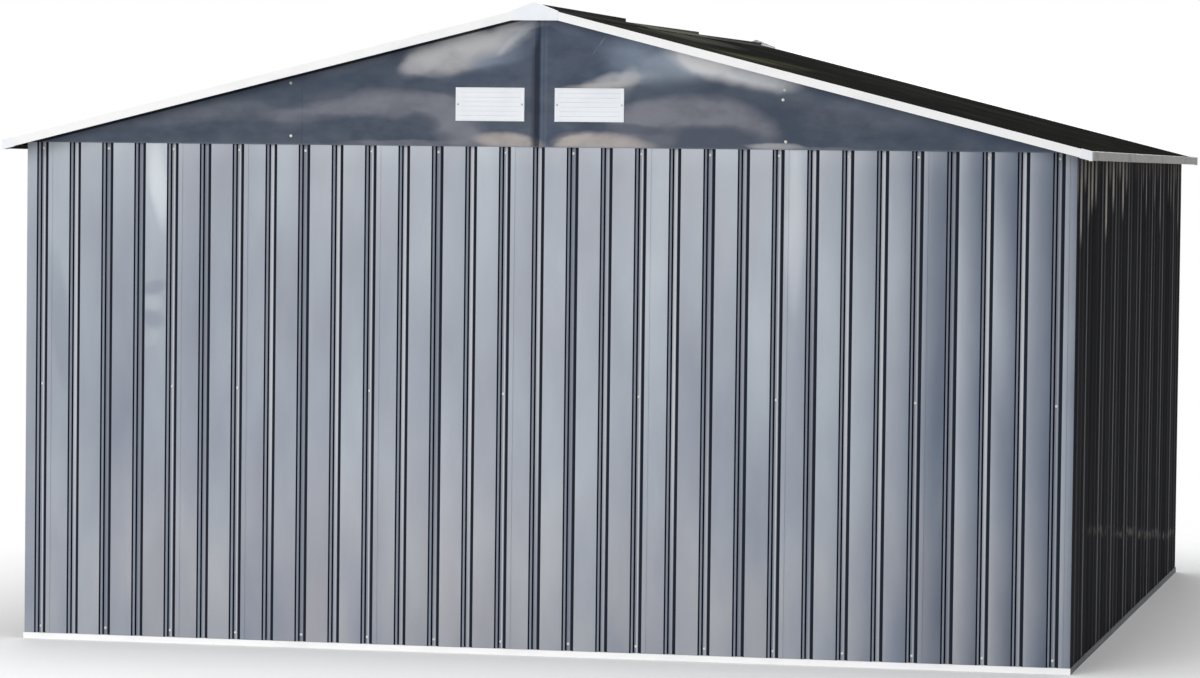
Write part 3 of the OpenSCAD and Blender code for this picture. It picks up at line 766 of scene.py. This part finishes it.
def groove_offset(along):
    """Distance from the nearest groove and that groove's number, for a place in pitches."""
    offset = ((along + 0.5) % 1.0 - 0.5) * PITCH
    return offset, (along + 0.5).floor()


# Painted light and shade on the back wall, as spots, and a wide painted shade on its left: place along X and
# Z, half sizes, tilt, and change of tone
WALL_PAINTED_LIGHT_SPOTS = [
    (-1.212, 1.440, 0.026, 0.100, 8, 30), (-1.235, 1.132, 0.036, 0.018, 14, -18),
    (-1.240, 1.085, 0.030, 0.020, 0, 12), (-1.232, 1.035, 0.036, 0.022, -14, -17),
    (-1.245, 0.975, 0.030, 0.022, 20, 10), (-1.540, 1.020, 0.030, 0.180, 8, -14),
    (1.222, 1.000, 0.034, 0.420, 0, -26), (1.222, 0.500, 0.034, 0.420, 0, -12),
    (1.115, 1.280, 0.040, 0.240, 0, 10), (0.800, 1.330, 0.022, 0.220, 0, 26),
    (1.440, 1.020, 0.034, 0.300, 4, 16), (0.350, 1.250, 0.060, 0.200, -10, 8),
]
LEFT_SHADE = (-1.20, 0.92, 0.75, 0.36, 0, 12.0)
# Tones of a pan from dark to light, their mean from 0 to 255, and how much each unevenness of its painted
# reflection changes it
PAN_STOPS = [
    (0.35, srgb(80, 90, 106)), (0.45, srgb(104, 113, 130)), (0.55, srgb(131, 138, 152)),
    (0.66, srgb(163, 168, 179)), (0.78, srgb(195, 198, 206)), (0.9, srgb(226, 228, 233)),
]
PAN_TONE = 169.0
SWELL_TONE = 44.0
CLOUD_TONE = 34.0
OWN_TONE = 40.0
RISE_TONE = 17.0
RIGHT_TONE = 32.0
COOL_TINT = (0.94, 1.03, 1.03, 1.0)
WARM_TINT = (1.10, 1.0, 0.93, 1.0)


def pan_colour(finish, u, y, z, spotted):
    """Pans between the grooves in painted reflections of the sky: soft swells, each pan a little different,
    darker towards the right.
    """
    pan = (u / PITCH).floor()
    across = (u / PITCH) % 1.0 - 0.5
    right = u.ramp(0.65, 1.5)
    swell = finish.noise_at(u * 2.6, z * 0.9, y, 2.0)
    cloud = finish.noise_at(u * 7.0 + pan * 0.6, z * 2.2, y, 3.0)
    own = finish.noise_at(pan * 3.7, z * 0.7, y, 1.0)
    lean = finish.noise_at(pan * 5.1, z * 0.5, 7.0, 1.0) - 0.5
    # Painted reflections in the bowed pans: tone that swells and clouds, each pan its own, lighter higher up
    # and at the top, darker to the right and across each pan from left to right
    tone = PAN_TONE + (swell - 0.5) * SWELL_TONE + (cloud - 0.5) * CLOUD_TONE + (own - 0.5) * OWN_TONE
    tone = tone + (z - 0.8) * RISE_TONE + z.ramp(1.48, 1.57) * 8.0 - right * RIGHT_TONE
    tone = tone - across * (right * 80.0 + lean * 60.0 + 4.0)
    # A wide painted shade on the left of the back wall, and painted shade high on the right
    tone = tone - patch(u, z, LEFT_SHADE, 0.0, 2.4) - z.ramp(1.2, 1.5) * right * 10.0
    # Painted light and shade of bright patches and dents
    if spotted:
        bend_u = u + (cloud - 0.5) * 0.05
        bend_z = z + (swell - 0.5) * 0.20
        spots = sum(patch(bend_u, bend_z, spot, 0.0, 2.6) for spot in WALL_PAINTED_LIGHT_SPOTS)
        tone = tone + spots * (y < 0.0) * 0.85
    pans = finish.node("ShaderNodeValToRGB", {"stops": PAN_STOPS}, {0: tone / 255.0})
    pans = finish.tinted((cloud + own * 0.6).ramp(0.6, 1.0) * 0.5, pans, COOL_TINT)
    low = (cloud + swell).ramp(0.75, 1.15) * z.ramp(0.15, 0.75, 1.0, 0.0)
    return finish.tinted(low * 0.8, pans, WARM_TINT)


# Across a groove, from its middle: its left flank, lighter in a painted reflection, and its floor, with
# their half widths
LEFT_FLANK = (-0.0132, 0.0054)
FLOOR_FLAT = (-0.0006, 0.0076)
# Two dark lines, painted dark reflections in the bends, and the painted glint of the floor, with the half
# widths of their core and rim
FIRST_LINE = (-0.0174, 0.0018, 0.0028)
SECOND_LINE = (-0.0078, 0.0022, 0.0032)
FLOOR_GLINT = (0.0022, 0.0008, 0.0026)
# Where the floor's painted shade fades out, and where the dark flank on the right, in painted shade, begins
# and ends
FLOOR_SHADE = (-0.0065, 0.0015)
FLANK_IN = (0.0050, 0.0066)
FLANK_OUT = (0.0170, 0.0188)


def groove_colour(finish, pans, groove, u, y, z):
    """Adds the grooves to the pans in painted light and shade, and says where their dark lines and flanks
    lie.
    """
    offset, number, lap = groove
    right = u.ramp(0.65, 1.5)
    # Painted reflections on the groove floors: some bright, some dull, a painted shade at their left and a
    # painted glint
    sheen_noise = finish.noise_at(number * 5.3, z * 0.35, y, 1.0)
    shine = sheen_noise.ramp(0.38, 0.56, 0.0, 0.85) * (1.0 - lap) + lap * (0.35 - right * 0.30)
    shine = shine * z.ramp(0.1, 0.8, 0.5, 1.0)
    floor = finish.mix(shine, srgb(122, 128, 141), srgb(203, 206, 212))
    floor = finish.mix(offset.ramp(*FLOOR_SHADE, 0.5, 0.0), floor, srgb(96, 101, 114))
    glint = stripe(offset, *FLOOR_GLINT, 0.8) * (lap * (0.45 - right * 0.35) + 0.10)
    floor = finish.mix(glint, floor, srgb(240, 242, 244))
    # A painted reflection on the left flank, painted dark reflections in the two bend lines, painted shade
    # on the right flank
    colour = finish.mix(abs(offset - LEFT_FLANK[0]) < LEFT_FLANK[1], pans, srgb(160, 168, 184))
    colour = finish.mix(abs(offset - FLOOR_FLAT[0]) < FLOOR_FLAT[1], colour, floor)
    band = offset.ramp(*FLANK_IN) * (1.0 - offset.ramp(*FLANK_OUT))
    lines = stripe(offset, *FIRST_LINE).at_least(stripe(offset, *SECOND_LINE))
    colour = finish.mix(band, colour, srgb(38, 42, 52))
    colour = finish.mix(lines, colour, srgb(12, 16, 28))
    return colour, lines.at_least(band)


# Side walls: where the shortest streak under the eave ends, how much longer others are, the height of
# the smears at half length, and how they fall towards the door end
STREAK_Z = 1.53
STREAK_MORE = 0.26
SMEAR_Z = 0.29
SMEAR_FALL = 0.083


def side_colour(finish, x, y, z, facing_y):
    """Side walls: near black in painted shade, lighter on the flanks that face the ends as painted
    highlights, with pale streaks and smears.
    """
    bay, number = groove_offset(abs(y) / PITCH)
    grain = finish.stretched((2.0, 26.0, 0.7), 1.0, 2.0)
    mottle = finish.stretched((2.0, 30.0, 18.0), 1.0, 3.0)
    odd = finish.noise_at(number * 4.37, x, 3.0, 0.0)
    odd_too = finish.noise_at(number * 6.71, x, 9.0, 0.0)
    # Sheets lap at every fourth groove
    lap = (number + 2.0) % 4.0 < 0.5
    # Near black: the paint in painted shade
    side = finish.mix(grain.ramp(0.35, 0.7), srgb(45, 45, 49), srgb(58, 58, 62))
    # Painted highlights on the flanks that face the ends, paler on laps and on some grooves
    flank = facing_y.ramp(0.35, 0.75)
    side = finish.mix(flank * grain.ramp(0.3, 0.6, 0.35, 0.9), side, srgb(66, 67, 71))
    pale = (odd_too.ramp(0.45, 0.7) * 0.35).at_least(lap * 0.6)
    side = finish.mix(flank * pale, side, srgb(150, 151, 154))
    # Streaks under the eave, each bay with its own length
    reach = STREAK_Z - odd.ramp(0.25, 0.75) * STREAK_MORE
    streak = (z - reach + (grain - 0.5) * 0.04).ramp(0.0, 0.09)
    streak = streak * abs(bay + 0.026 - odd_too * 0.012).ramp(0.006, 0.020, 1.0, 0.0)
    side = finish.mix(streak * odd_too.ramp(0.2, 0.6, 0.35, 0.95), side, srgb(206, 200, 190))
    side = finish.mix(z.ramp(1.46, 1.56) * grain.ramp(0.3, 0.7, 0.1, 0.5), side, srgb(112, 108, 104))
    # Smears near the foot
    smear_z = SMEAR_Z - y * SMEAR_FALL + (grain - 0.5) * 0.05
    smears = stripe(z, smear_z, 0.004, 0.022) * mottle.ramp(0.46, 0.60)
    return finish.mix(smears * y.ramp(-1.6, -0.9) * 0.36, side, srgb(158, 156, 146))


# What counts as a side: faces that look this squarely sideways, or lie this deep behind an end's face
SIDE_FACING = 0.92
WALL_TURN = 0.0135
DOOR_TURN = 0.06


def wall_paint(name, door=False):
    """Baked grey paint, one paint coloured light where a sheet faces the ends of the shed and near black on
    its sides: lit and shaded copies, painted light and shade.
    """
    finish = Finish(name)
    x, y, z = finish.axes()
    facing_x, facing_y = finish.facing()[:2]
    depth = SIDE_LEN / 2 - abs(y)
    on_side = (facing_x > SIDE_FACING).at_least(depth > (DOOR_TURN if door else WALL_TURN))
    u = x * outside(y)
    if door:
        offset, number = groove_offset((abs(x) - DOOR_GROOVE) / PITCH)
        offset = offset * outside(x)
        lap = 0.0
    else:
        offset, number = groove_offset(u / PITCH)
        number = number + (BACK_BAYS + 1) / 2
        # Laps: every fourth groove from the seventh on, and the first and the fifth
        lap = ((number + 1.0) % 4.0 < 0.5) * (number > 5.5)
        lap = lap.at_least(abs(number - 1.0) < 0.5).at_least(abs(number - 5.0) < 0.5)
    pans = pan_colour(finish, u, y, z, not door)
    colour, deep = groove_colour(finish, pans, (offset, number, lap), u, y, z)
    # The sides take their near black painted shade
    colour = finish.mix(on_side, colour, side_colour(finish, x, y, z, facing_y))

    fine = finish.noise(finish.place, 420.0, 2.0)
    wear = finish.noise(finish.place, 14.0, 3.0)
    rough = 0.40 + wear * 0.12
    bump = finish.bump(fine, 0.10, 0.0004)
    light = finish.coat(colour, rough, 0.22, bump)
    dark = finish.coat(colour, rough + 0.2, 0.0, bump)
    surface = finish.node("ShaderNodeMixShader", inputs={0: on_side.at_least(deep), 1: light, 2: dark})
    return finish.output(surface)


# Tones of the gable's sheets and of their painted reflections
GABLE_TONES = {
    "dark": srgb(52, 64, 82), "deep": srgb(56, 69, 91), "smoke": srgb(94, 99, 110),
    "grey": srgb(121, 122, 132), "blue": srgb(116, 129, 148), "mist": srgb(150, 160, 173),
    "pale": srgb(184, 184, 186), "white": srgb(205, 205, 207), "warm": srgb(184, 175, 170),
    "bright": srgb(206, 212, 220),
}
# Painted reflections on the gable, as soft spots laid one over the other: place along X and Z, half sizes,
# tilt, strength, softness of the rim, tone; and a thin scratch
GABLE_REFLECTIONS = [
    (-0.620, 1.790, 0.330, 0.055, 8, 0.75, 0.5, "dark"),
    (-0.600, 1.818, 0.120, 0.020, 14, 0.60, 0.7, "smoke"),
    (-0.480, 1.752, 0.240, 0.026, -4, 0.90, 0.5, "dark"),
    (-1.170, 1.655, 0.230, 0.030, 5, 0.55, 0.6, "smoke"),
    (-0.960, 1.664, 0.130, 0.024, 0, 0.50, 0.6, "smoke"),
    (-0.650, 1.676, 0.170, 0.026, 8, 0.75, 0.6, "grey"),
    (-0.430, 1.692, 0.140, 0.036, -4, 0.80, 0.6, "grey"),
    (-0.270, 1.650, 0.085, 0.060, -40, 0.75, 0.6, "grey"),
    (-0.780, 1.640, 0.080, 0.022, 40, 0.35, 0.6, "smoke"),
    (-0.250, 1.600, 0.120, 0.030, -20, 0.70, 0.6, "grey"),
    (-0.810, 1.700, 0.070, 0.016, -8, 0.70, 0.6, "dark"),
    (-0.615, 1.632, 0.130, 0.022, -6, 0.75, 0.5, "dark"),
    (-0.385, 1.630, 0.062, 0.032, 0, 0.85, 0.4, "dark"),
    (-0.480, 1.606, 0.180, 0.020, -4, 0.70, 0.5, "dark"),
    (-1.000, 1.612, 0.300, 0.018, 2, 0.60, 0.6, "dark"),
    (-0.265, 1.848, 0.125, 0.050, 12, 0.90, 0.5, "pale"),
    (-0.365, 1.824, 0.060, 0.026, 28, 0.70, 0.7, "pale"),
    (-0.215, 1.872, 0.056, 0.046, 14, 0.85, 0.35, "pale"),
    (-0.130, 1.836, 0.090, 0.034, 14, 0.75, 0.5, "blue"),
    (-0.120, 1.788, 0.170, 0.026, 10, 0.85, 0.5, "deep"),
    (-0.330, 1.748, 0.110, 0.018, -14, 0.75, 0.5, "dark"),
    (-0.110, 1.902, 0.075, 0.034, 30, 0.90, 0.6, "pale"),
    (-0.062, 1.915, 0.075, 0.008, 40, 0.50, 0.8, "bright"),
    (-0.040, 1.930, 0.050, 0.008, 10, 0.60, 0.5, "white"),
    (0.060, 1.932, 0.060, 0.012, -20, 0.50, 0.6, "mist"),
    (-0.455, 1.573, 0.150, 0.010, 0, 0.60, 0.5, "grey"),
    (-0.095, 1.578, 0.090, 0.022, -6, 0.85, 0.5, "warm"),
    (0.120, 1.845, 0.180, 0.120, -15, 0.85, 0.5, "deep"),
    (0.370, 1.830, 0.140, 0.085, -10, 0.85, 0.5, "blue"),
    (0.400, 1.795, 0.080, 0.045, 0, 0.60, 0.6, "mist"),
    (0.600, 1.808, 0.170, 0.044, -14, 0.95, 0.45, "white"),
    (0.505, 1.838, 0.066, 0.040, -14, 0.90, 0.30, "white"),
    (0.690, 1.780, 0.070, 0.014, -12, 0.35, 0.7, "mist"),
    (0.205, 1.751, 0.085, 0.009, 5, 0.60, 0.8, "warm"),
    (0.230, 1.764, 0.060, 0.018, 12, 0.55, 0.9, "white"),
    (0.272, 1.752, 0.022, 0.040, -14, 0.45, 0.9, "white"),
    (0.470, 1.622, 0.330, 0.152, 0, 0.92, 0.18, "dark"),
    (0.470, 1.603, 0.245, 0.116, 0, 0.92, 0.18, "grey"),
    (0.320, 1.662, 0.080, 0.034, 14, 0.85, 0.5, "grey"),
    (0.520, 1.582, 0.185, 0.050, 0, 0.92, 0.25, "dark"),
    (0.370, 1.590, 0.060, 0.036, 20, 0.80, 0.5, "smoke"),
    (0.030, 1.612, 0.050, 0.036, -30, 0.80, 0.5, "deep"),
    (0.280, 1.622, 0.100, 0.014, -4, 0.70, 0.5, "dark"),
    (0.200, 1.574, 0.130, 0.030, -4, 0.85, 0.45, "warm"),
    (0.110, 1.585, 0.060, 0.016, 20, 0.70, 0.5, "warm"),
    (0.100, 1.610, 0.100, 0.010, 10, 0.50, 0.6, "deep"),
    (0.735, 1.571, 0.070, 0.009, 0, 0.70, 0.5, "pale"),
    (0.870, 1.568, 0.080, 0.007, 0, 0.50, 0.5, "grey"),
    (0.980, 1.680, 0.160, 0.030, -10, 0.35, 0.6, "smoke"),
]
SCRATCH = (0.185, 1.877, 0.032, 0.0018, 54, 0.75)


def gable_paint():
    """Glossy dark slate paint with painted reflections: the soft pale patches of a slightly wavy flat sheet.
    """
    finish = Finish("gable_paint")
    x, y, z = finish.axes()
    u = x * outside(y)
    warp = finish.stretched((1.0, 1.0, 1.6), 4.2, 2.0) - 0.5
    warp_z = finish.stretched((1.3, 1.0, 1.0), 3.1, 2.0) - 0.5
    small = finish.stretched((1.0, 1.0, 1.4), 13.0, 2.0) - 0.5
    small_z = finish.stretched((1.4, 1.0, 1.0), 11.0, 2.0) - 0.5
    a = u + warp * 0.05 + small * 0.035
    b = z + warp_z * 0.022 + small_z * 0.014
    cloud = finish.stretched((1.6, 1.0, 4.0), 1.6, 3.0)
    grain = finish.stretched((20.0, 1.0, 3.0), 2.0, 3.0)
    fleck = finish.stretched((5.0, 1.0, 9.0), 3.0, 4.0)
    colour = finish.mix(cloud.ramp(0.36, 0.66), srgb(57, 68, 85), srgb(74, 83, 97))
    uneven = fleck.ramp(0.3, 0.6, 0.78, 1.0)
    # Painted reflections, laid one over the other
    for spot in GABLE_REFLECTIONS:
        soft, tone = spot[6:]
        mask = patch(a, b, spot[:6], (1.0 - soft) ** 2, (1.0 + soft) ** 2)
        colour = finish.mix(mask * uneven, colour, GABLE_TONES[tone])
    # Painted light near the roof's edge, against the trim's shadow: up to half again as light towards the
    # top
    below_roof = z + abs(x) * SLOPE
    lift = below_roof.ramp(TRIM_APEX - 0.105, TRIM_APEX - 0.035)
    colour = finish.tinted(lift, colour, (1.5, 1.5, 1.5, 1.0))
    colour = finish.mix(fleck.ramp(0.3, 0.7, 0.0, 0.12), colour, srgb(140, 146, 158))
    # The folded seam in the middle: a dark band of painted shade, thin lines and a lighter band beside it as
    # painted highlights
    seam = (u + 0.034 - z.ramp(1.84, 1.93) * 0.022).ramp(0.0, 0.020)
    seam = seam * (1.0 - (u + 0.002).ramp(-0.001, 0.002))
    colour = finish.mix(seam * 0.85, colour, srgb(34, 41, 54))
    lines = stripe(u, 0.005, 0.0008, 0.002).at_least(stripe(u, 0.009, 0.0008, 0.002, 0.6))
    colour = finish.mix(lines * 0.5, colour, srgb(112, 122, 140))
    edge = stripe(u, 0.017, 0.004, 0.008)
    colour = finish.mix(edge * 0.25, colour, srgb(104, 113, 130))
    streak = patch(u, z, SCRATCH) * grain.ramp(0.3, 0.6)
    colour = finish.mix(streak, colour, srgb(176, 186, 198))
    foot = z.ramp(1.5645, 1.570, 1.0, 0.0)
    colour = finish.mix(foot * 0.45, colour, srgb(112, 118, 132))
    # Deep shadow where the sheet goes up behind the roof's edge
    under = below_roof.ramp(TRIM_APEX - 0.0300, TRIM_APEX - 0.0265)
    colour = finish.mix(under * 0.9, colour, srgb(20, 25, 36))
    bump = finish.bump(finish.stretched((1.0, 1.0, 2.0), 3.0, 2.0), 0.35, 0.02)
    return finish.output(finish.coat(colour, 0.30 + cloud * 0.1, 0.12, bump))


# Weathered places of the roof, along X and Y: an olive one on the right slope, grey ones by the ridge
MOSS = (0.545, -0.82, 0.080, 0.36, 4, 0.45)
RIDGE_GREY = (0.130, -0.30, 0.120, 0.50, 0, 0.60)


def roof_paint(name, low, high, dust):
    """Near black baked paint with faint olive streaks down the slope."""
    finish = Finish(name)
    streaks = finish.stretched((0.8, 1.4, 0.8), 1.0, 3.0)
    fine = finish.stretched((3.0, 30.0, 3.0), 1.0, 2.0)
    mottle = finish.stretched((6.0, 6.0, 6.0), 1.0, 4.0)
    x, y = finish.axes()[:2]
    aside = x + (streaks - 0.5) * 0.30
    along = y + (mottle - 0.5) * 0.60
    moss = patch(aside, along, MOSS, 0.0, 2.8)
    grey = patch(abs(x) + (streaks - 0.5) * 0.16, along, RIDGE_GREY, 0.0, 2.8)
    colour = finish.mix(streaks.ramp(0.42, 0.68), low, high)
    colour = finish.mix(fine.ramp(0.45, 0.75) * mottle.ramp(0.4, 0.6), colour, dust)
    blotch = mottle.ramp(0.35, 0.6, 0.25, 1.0) * fine.ramp(0.35, 0.6, 0.5, 1.0)
    colour = finish.mix(grey * blotch, colour, srgb(94, 94, 86))
    colour = finish.mix(moss * blotch, colour, srgb(104, 103, 80))
    bump = finish.bump(finish.noise(finish.place, 300.0, 2.0), 0.15, 0.0005)
    return finish.output(finish.coat(colour, 0.7 + fine * 0.15, 0.0, bump))


# Ends of the first and the second ridge cap, along the ridge
RIDGE_ENDS = (-0.648, 0.617)
RIDGE_STOPS = [
    (0.10, srgb(24, 24, 24)), (0.20, srgb(50, 50, 50)), (0.34, srgb(88, 88, 84)),
    (0.45, srgb(118, 116, 106)), (0.6, srgb(150, 147, 136)),
]


def ridge_cap_paint():
    """Weathered dark paint of the ridge caps: the middle one greyer, with pale blotches on its sides;
    painted light on the sides that face across and painted shade on the tops.
    """
    finish = Finish("ridge_paint")
    y = finish.axes()[1]
    facing = finish.facing()
    blotch = finish.stretched((10.0, 22.0, 60.0), 1.0, 4.0)
    long_tone = finish.stretched((2.0, 2.4, 2.0), 1.0, 2.0)
    second = (y > RIDGE_ENDS[0]) * (y < RIDGE_ENDS[1])
    third = y > RIDGE_ENDS[1]
    tone = 0.245 + second * 0.145 + third * 0.06 + (long_tone - 0.5) * 0.10
    tone = tone + (blotch - 0.5) * (0.10 + second * 0.16)
    # Painted light on the sides that face across, painted shade on the tops
    tone = tone + facing[0].ramp(0.6, 0.95) * 0.05 - facing[2].ramp(0.8, 1.0) * 0.06
    colour = finish.node("ShaderNodeValToRGB", {"stops": RIDGE_STOPS}, {0: tone})
    bump = finish.bump(finish.noise(finish.place, 300.0, 2.0), 0.15, 0.0005)
    return finish.output(finish.coat(colour, 0.7 + blotch * 0.15, 0.0, bump))


def white_trim(name, white, grey):
    """White baked paint on folded steel, greyed a little by dirt."""
    finish = Finish(name)
    cloud = finish.stretched((3.0, 3.0, 8.0), 2.0, 4.0)
    grime = finish.noise(finish.place, 60.0, 4.0)
    colour = finish.mix(cloud.ramp(0.45, 0.8) * 0.5 + grime.ramp(0.6, 0.8) * 0.25, white, grey)
    bump = finish.bump(grime, 0.15, 0.0005)
    return finish.output(finish.coat(colour, 0.45 + cloud * 0.12, 0.1, bump))


def white_plastic():
    """Moulded white plastic with a faint grain."""
    finish = Finish("white_plastic")
    grain = finish.noise(finish.place, 500.0, 2.0)
    cloud = finish.noise(finish.place, 9.0, 3.0)
    colour = finish.mix(cloud.ramp(0.4, 0.75) * 0.4, srgb(246, 249, 253), srgb(234, 238, 244))
    bump = finish.bump(grain, 0.12, 0.0004)
    return finish.output(finish.coat(colour, 0.45 + cloud * 0.15, 0.15, bump))


def beam_steel(name="beam_steel", dark=srgb(160, 164, 168), bright=srgb(198, 201, 205), metal=0.75):
    """Zinc coated steel with a soft spangle."""
    finish = Finish(name)
    place = {"Vector": finish.place, "Scale": 90.0}
    flakes = finish.node("ShaderNodeTexVoronoi", {"feature": "F1"}, place, "Color")
    grey = finish.node("ShaderNodeRGBToBW", inputs={0: flakes})
    colour = finish.mix(grey, dark, bright)
    surface = finish.shader(Base_Color=colour, Roughness=0.38 + grey * 0.14, Metallic=metal,
                            Normal=finish.bump(grey, 0.08, 0.0004))
    return finish.output(surface)


paints = {
    "wall_paint": wall_paint("wall_paint"),
    "door_paint": wall_paint("door_paint", door=True),
    "gable_paint": gable_paint(),
    "roof_paint": roof_paint("roof_paint", srgb(30, 31, 30), srgb(40, 40, 37), srgb(52, 52, 44)),
    "white_trim": white_trim("white_trim", srgb(252, 252, 252), srgb(232, 234, 236)),
    "white_plastic": white_plastic(),
    "beam_steel": beam_steel(),
}
ridge_paint = ridge_cap_paint()
# The eave trims: the white trim painted grey, a painted shade
eave_trim_shaded = white_trim("white_trim_eave_painted_shade", srgb(160, 159, 155), srgb(118, 117, 113))
foot_grey = white_trim("white_trim_side", srgb(104, 105, 108), srgb(72, 73, 76))
screw_steel = beam_steel("screw_steel", srgb(206, 203, 192), srgb(244, 241, 232), 0.1)
washer_grey = white_trim("washer_grey", srgb(214, 213, 208), srgb(176, 174, 168))


def dress(piece, material):
    """Gives a piece its one material."""
    piece.data.materials.clear()
    piece.data.materials.append(material)


slots = {row["node"]: row["material_slot"] for row in frame["record"]["subparts"]}
for node_name, node_piece in frame["nodes"].items():
    dress(node_piece, paints[slots[node_name]])
dress(frame["nodes"]["ridge_caps"], ridge_paint)
for node_name in ("base_rail_right", "base_rail_left"):
    dress(frame["nodes"][node_name], foot_grey)
# The eave trims take the grey of their painted shade
for node_name in ("eave_trim_right", "eave_trim_left"):
    dress(frame["nodes"][node_name], eave_trim_shaded)
walls = [back_sheets, right_sheets, left_sheets, door_right_sheets, door_left_sheets] + corner_sheets
looks = {"wall_paint": walls, "roof_paint": roofs, "door_paint": doors, "white_plastic": vents}
for slot, pieces in looks.items():
    for piece in pieces:
        dress(piece, paints[slot])
dress(wall_screw_pieces[0], screw_steel)
dress(wall_screw_pieces[1], washer_grey)
dress(gable_screw_pieces[0], screw_steel)
dress(gable_screw_pieces[1], screw_steel)
dress(vent_screw_pieces[0], paints["beam_steel"])

# Floor, light and camera
FLOOR_HALF = 12.0
FLOOR_DROP = 0.0005
FLOOR_FADE = (2.6, 5.0)


def floor_paint():
    """Pale floor that fades out into the white background away from the shed."""
    finish = Finish("floor")
    x, y = finish.axes()[:2]
    tone = finish.noise(finish.place, 0.8, 2.0)
    colour = finish.mix(tone, (0.95, 0.95, 0.95, 1.0), (0.97, 0.97, 0.97, 1.0))
    matt = finish.shader(Base_Color=colour, Roughness=0.9, Specular_IOR_Level=0.0)
    clear = finish.node("ShaderNodeBsdfTransparent")
    reach = (x * x + y * y) ** 0.5
    surface = finish.node("ShaderNodeMixShader", inputs={0: reach.ramp(*FLOOR_FADE), 1: matt, 2: clear})
    return finish.output(surface)


def add_floor():
    """A square floor just under the shed's foot."""
    mesh = bpy.data.meshes.new("floor")
    corners = [(sx * FLOOR_HALF, sy * FLOOR_HALF, 0) for sx, sy in ((-1, -1), (1, -1), (1, 1), (-1, 1))]
    mesh.from_pydata(corners, [], [(0, 1, 2, 3)])
    floor = bpy.data.objects.new("floor", mesh)
    floor.location.z = -FLOOR_DROP
    scene.collection.objects.link(floor)
    dress(floor, floor_paint())


def add_world(ambient):
    """White for what the camera and reflections see, and an even grey light for the rest."""
    world = bpy.data.worlds.new("studio")
    scene.world = world
    world.use_nodes = True
    nodes, links = world.node_tree.nodes, world.node_tree.links
    nodes.clear()
    path = nodes.new("ShaderNodeLightPath")
    seen = path.outputs["Is Camera Ray"]
    for ray in ("Is Glossy Ray", "Is Transmission Ray"):
        either = nodes.new("ShaderNodeMath")
        either.operation = "MAXIMUM"
        links.new(seen, either.inputs[0])
        links.new(path.outputs[ray], either.inputs[1])
        seen = either.outputs[0]
    tint = nodes.new("ShaderNodeMix")
    tint.data_type = "RGBA"
    tint.inputs[6].default_value = (ambient, ambient, ambient, 1.0)
    tint.inputs[7].default_value = (1.0, 1.0, 1.0, 1.0)
    links.new(seen, tint.inputs[0])
    back = nodes.new("ShaderNodeBackground")
    links.new(tint.outputs[2], back.inputs["Color"])
    out = nodes.new("ShaderNodeOutputWorld")
    links.new(back.outputs[0], out.inputs["Surface"])


def add_lamp(name, place, target, size, watts):
    """A square area lamp that shines at a target."""
    data = bpy.data.lights.new(name, "AREA")
    data.shape = "SQUARE"
    data.size = size
    data.energy = watts
    lamp = bpy.data.objects.new(name, data)
    lamp.location = place
    lamp.rotation_euler = (Vector(target) - Vector(place)).to_track_quat("-Z", "Y").to_euler()
    scene.collection.objects.link(lamp)


# The camera that was fitted to the photograph's grooves and roof edges: place in metres, turns in
# degrees, focal length and picture width in pixels
CAMERA_PLACE = (3.1065, -15.2083, 1.5021)
CAMERA_TURNS = (12.25, 2.181, 0.669)
FOCAL_LENGTH = 4485.7
PICTURE_WIDTH = 1200.0
SENSOR = 36.0


def add_camera():
    """The camera of the photograph."""
    yaw, pitch, roll = [math.radians(angle) for angle in CAMERA_TURNS]
    ahead = Vector((-math.sin(yaw) * math.cos(pitch), math.cos(yaw) * math.cos(pitch), -math.sin(pitch)))
    level = Vector((math.cos(yaw), math.sin(yaw), 0.0))
    up = level.cross(ahead)
    right = level * math.cos(roll) + up * math.sin(roll)
    top = up * math.cos(roll) - level * math.sin(roll)
    data = bpy.data.cameras.new("camera")
    data.sensor_width = SENSOR
    data.lens = SENSOR * FOCAL_LENGTH / PICTURE_WIDTH
    data.clip_end = 200.0
    camera = bpy.data.objects.new("camera", data)
    turn = Matrix((right, top, -ahead)).transposed().to_4x4()
    camera.matrix_world = Matrix.Translation(CAMERA_PLACE) @ turn
    scene.collection.objects.link(camera)
    scene.camera = camera


AMBIENT = 0.32
KEY_SIZE = 7.0
KEY_WATTS = 580.0
TOP_SIZE = 8.0
TOP_WATTS = 600.0

add_floor()
add_world(AMBIENT)
for lamp_name, end in (("key", -1), ("rear", 1)):
    add_lamp(lamp_name, (-2.6, end * 11.0, 3.9), (0.0, end * 1.8, 0.9), KEY_SIZE, KEY_WATTS)
add_lamp("top", (0.0, 0.0, 9.0), (0.0, 0.0, 0.0), TOP_SIZE, TOP_WATTS)
add_camera()
scene.view_settings.view_transform = "Standard"
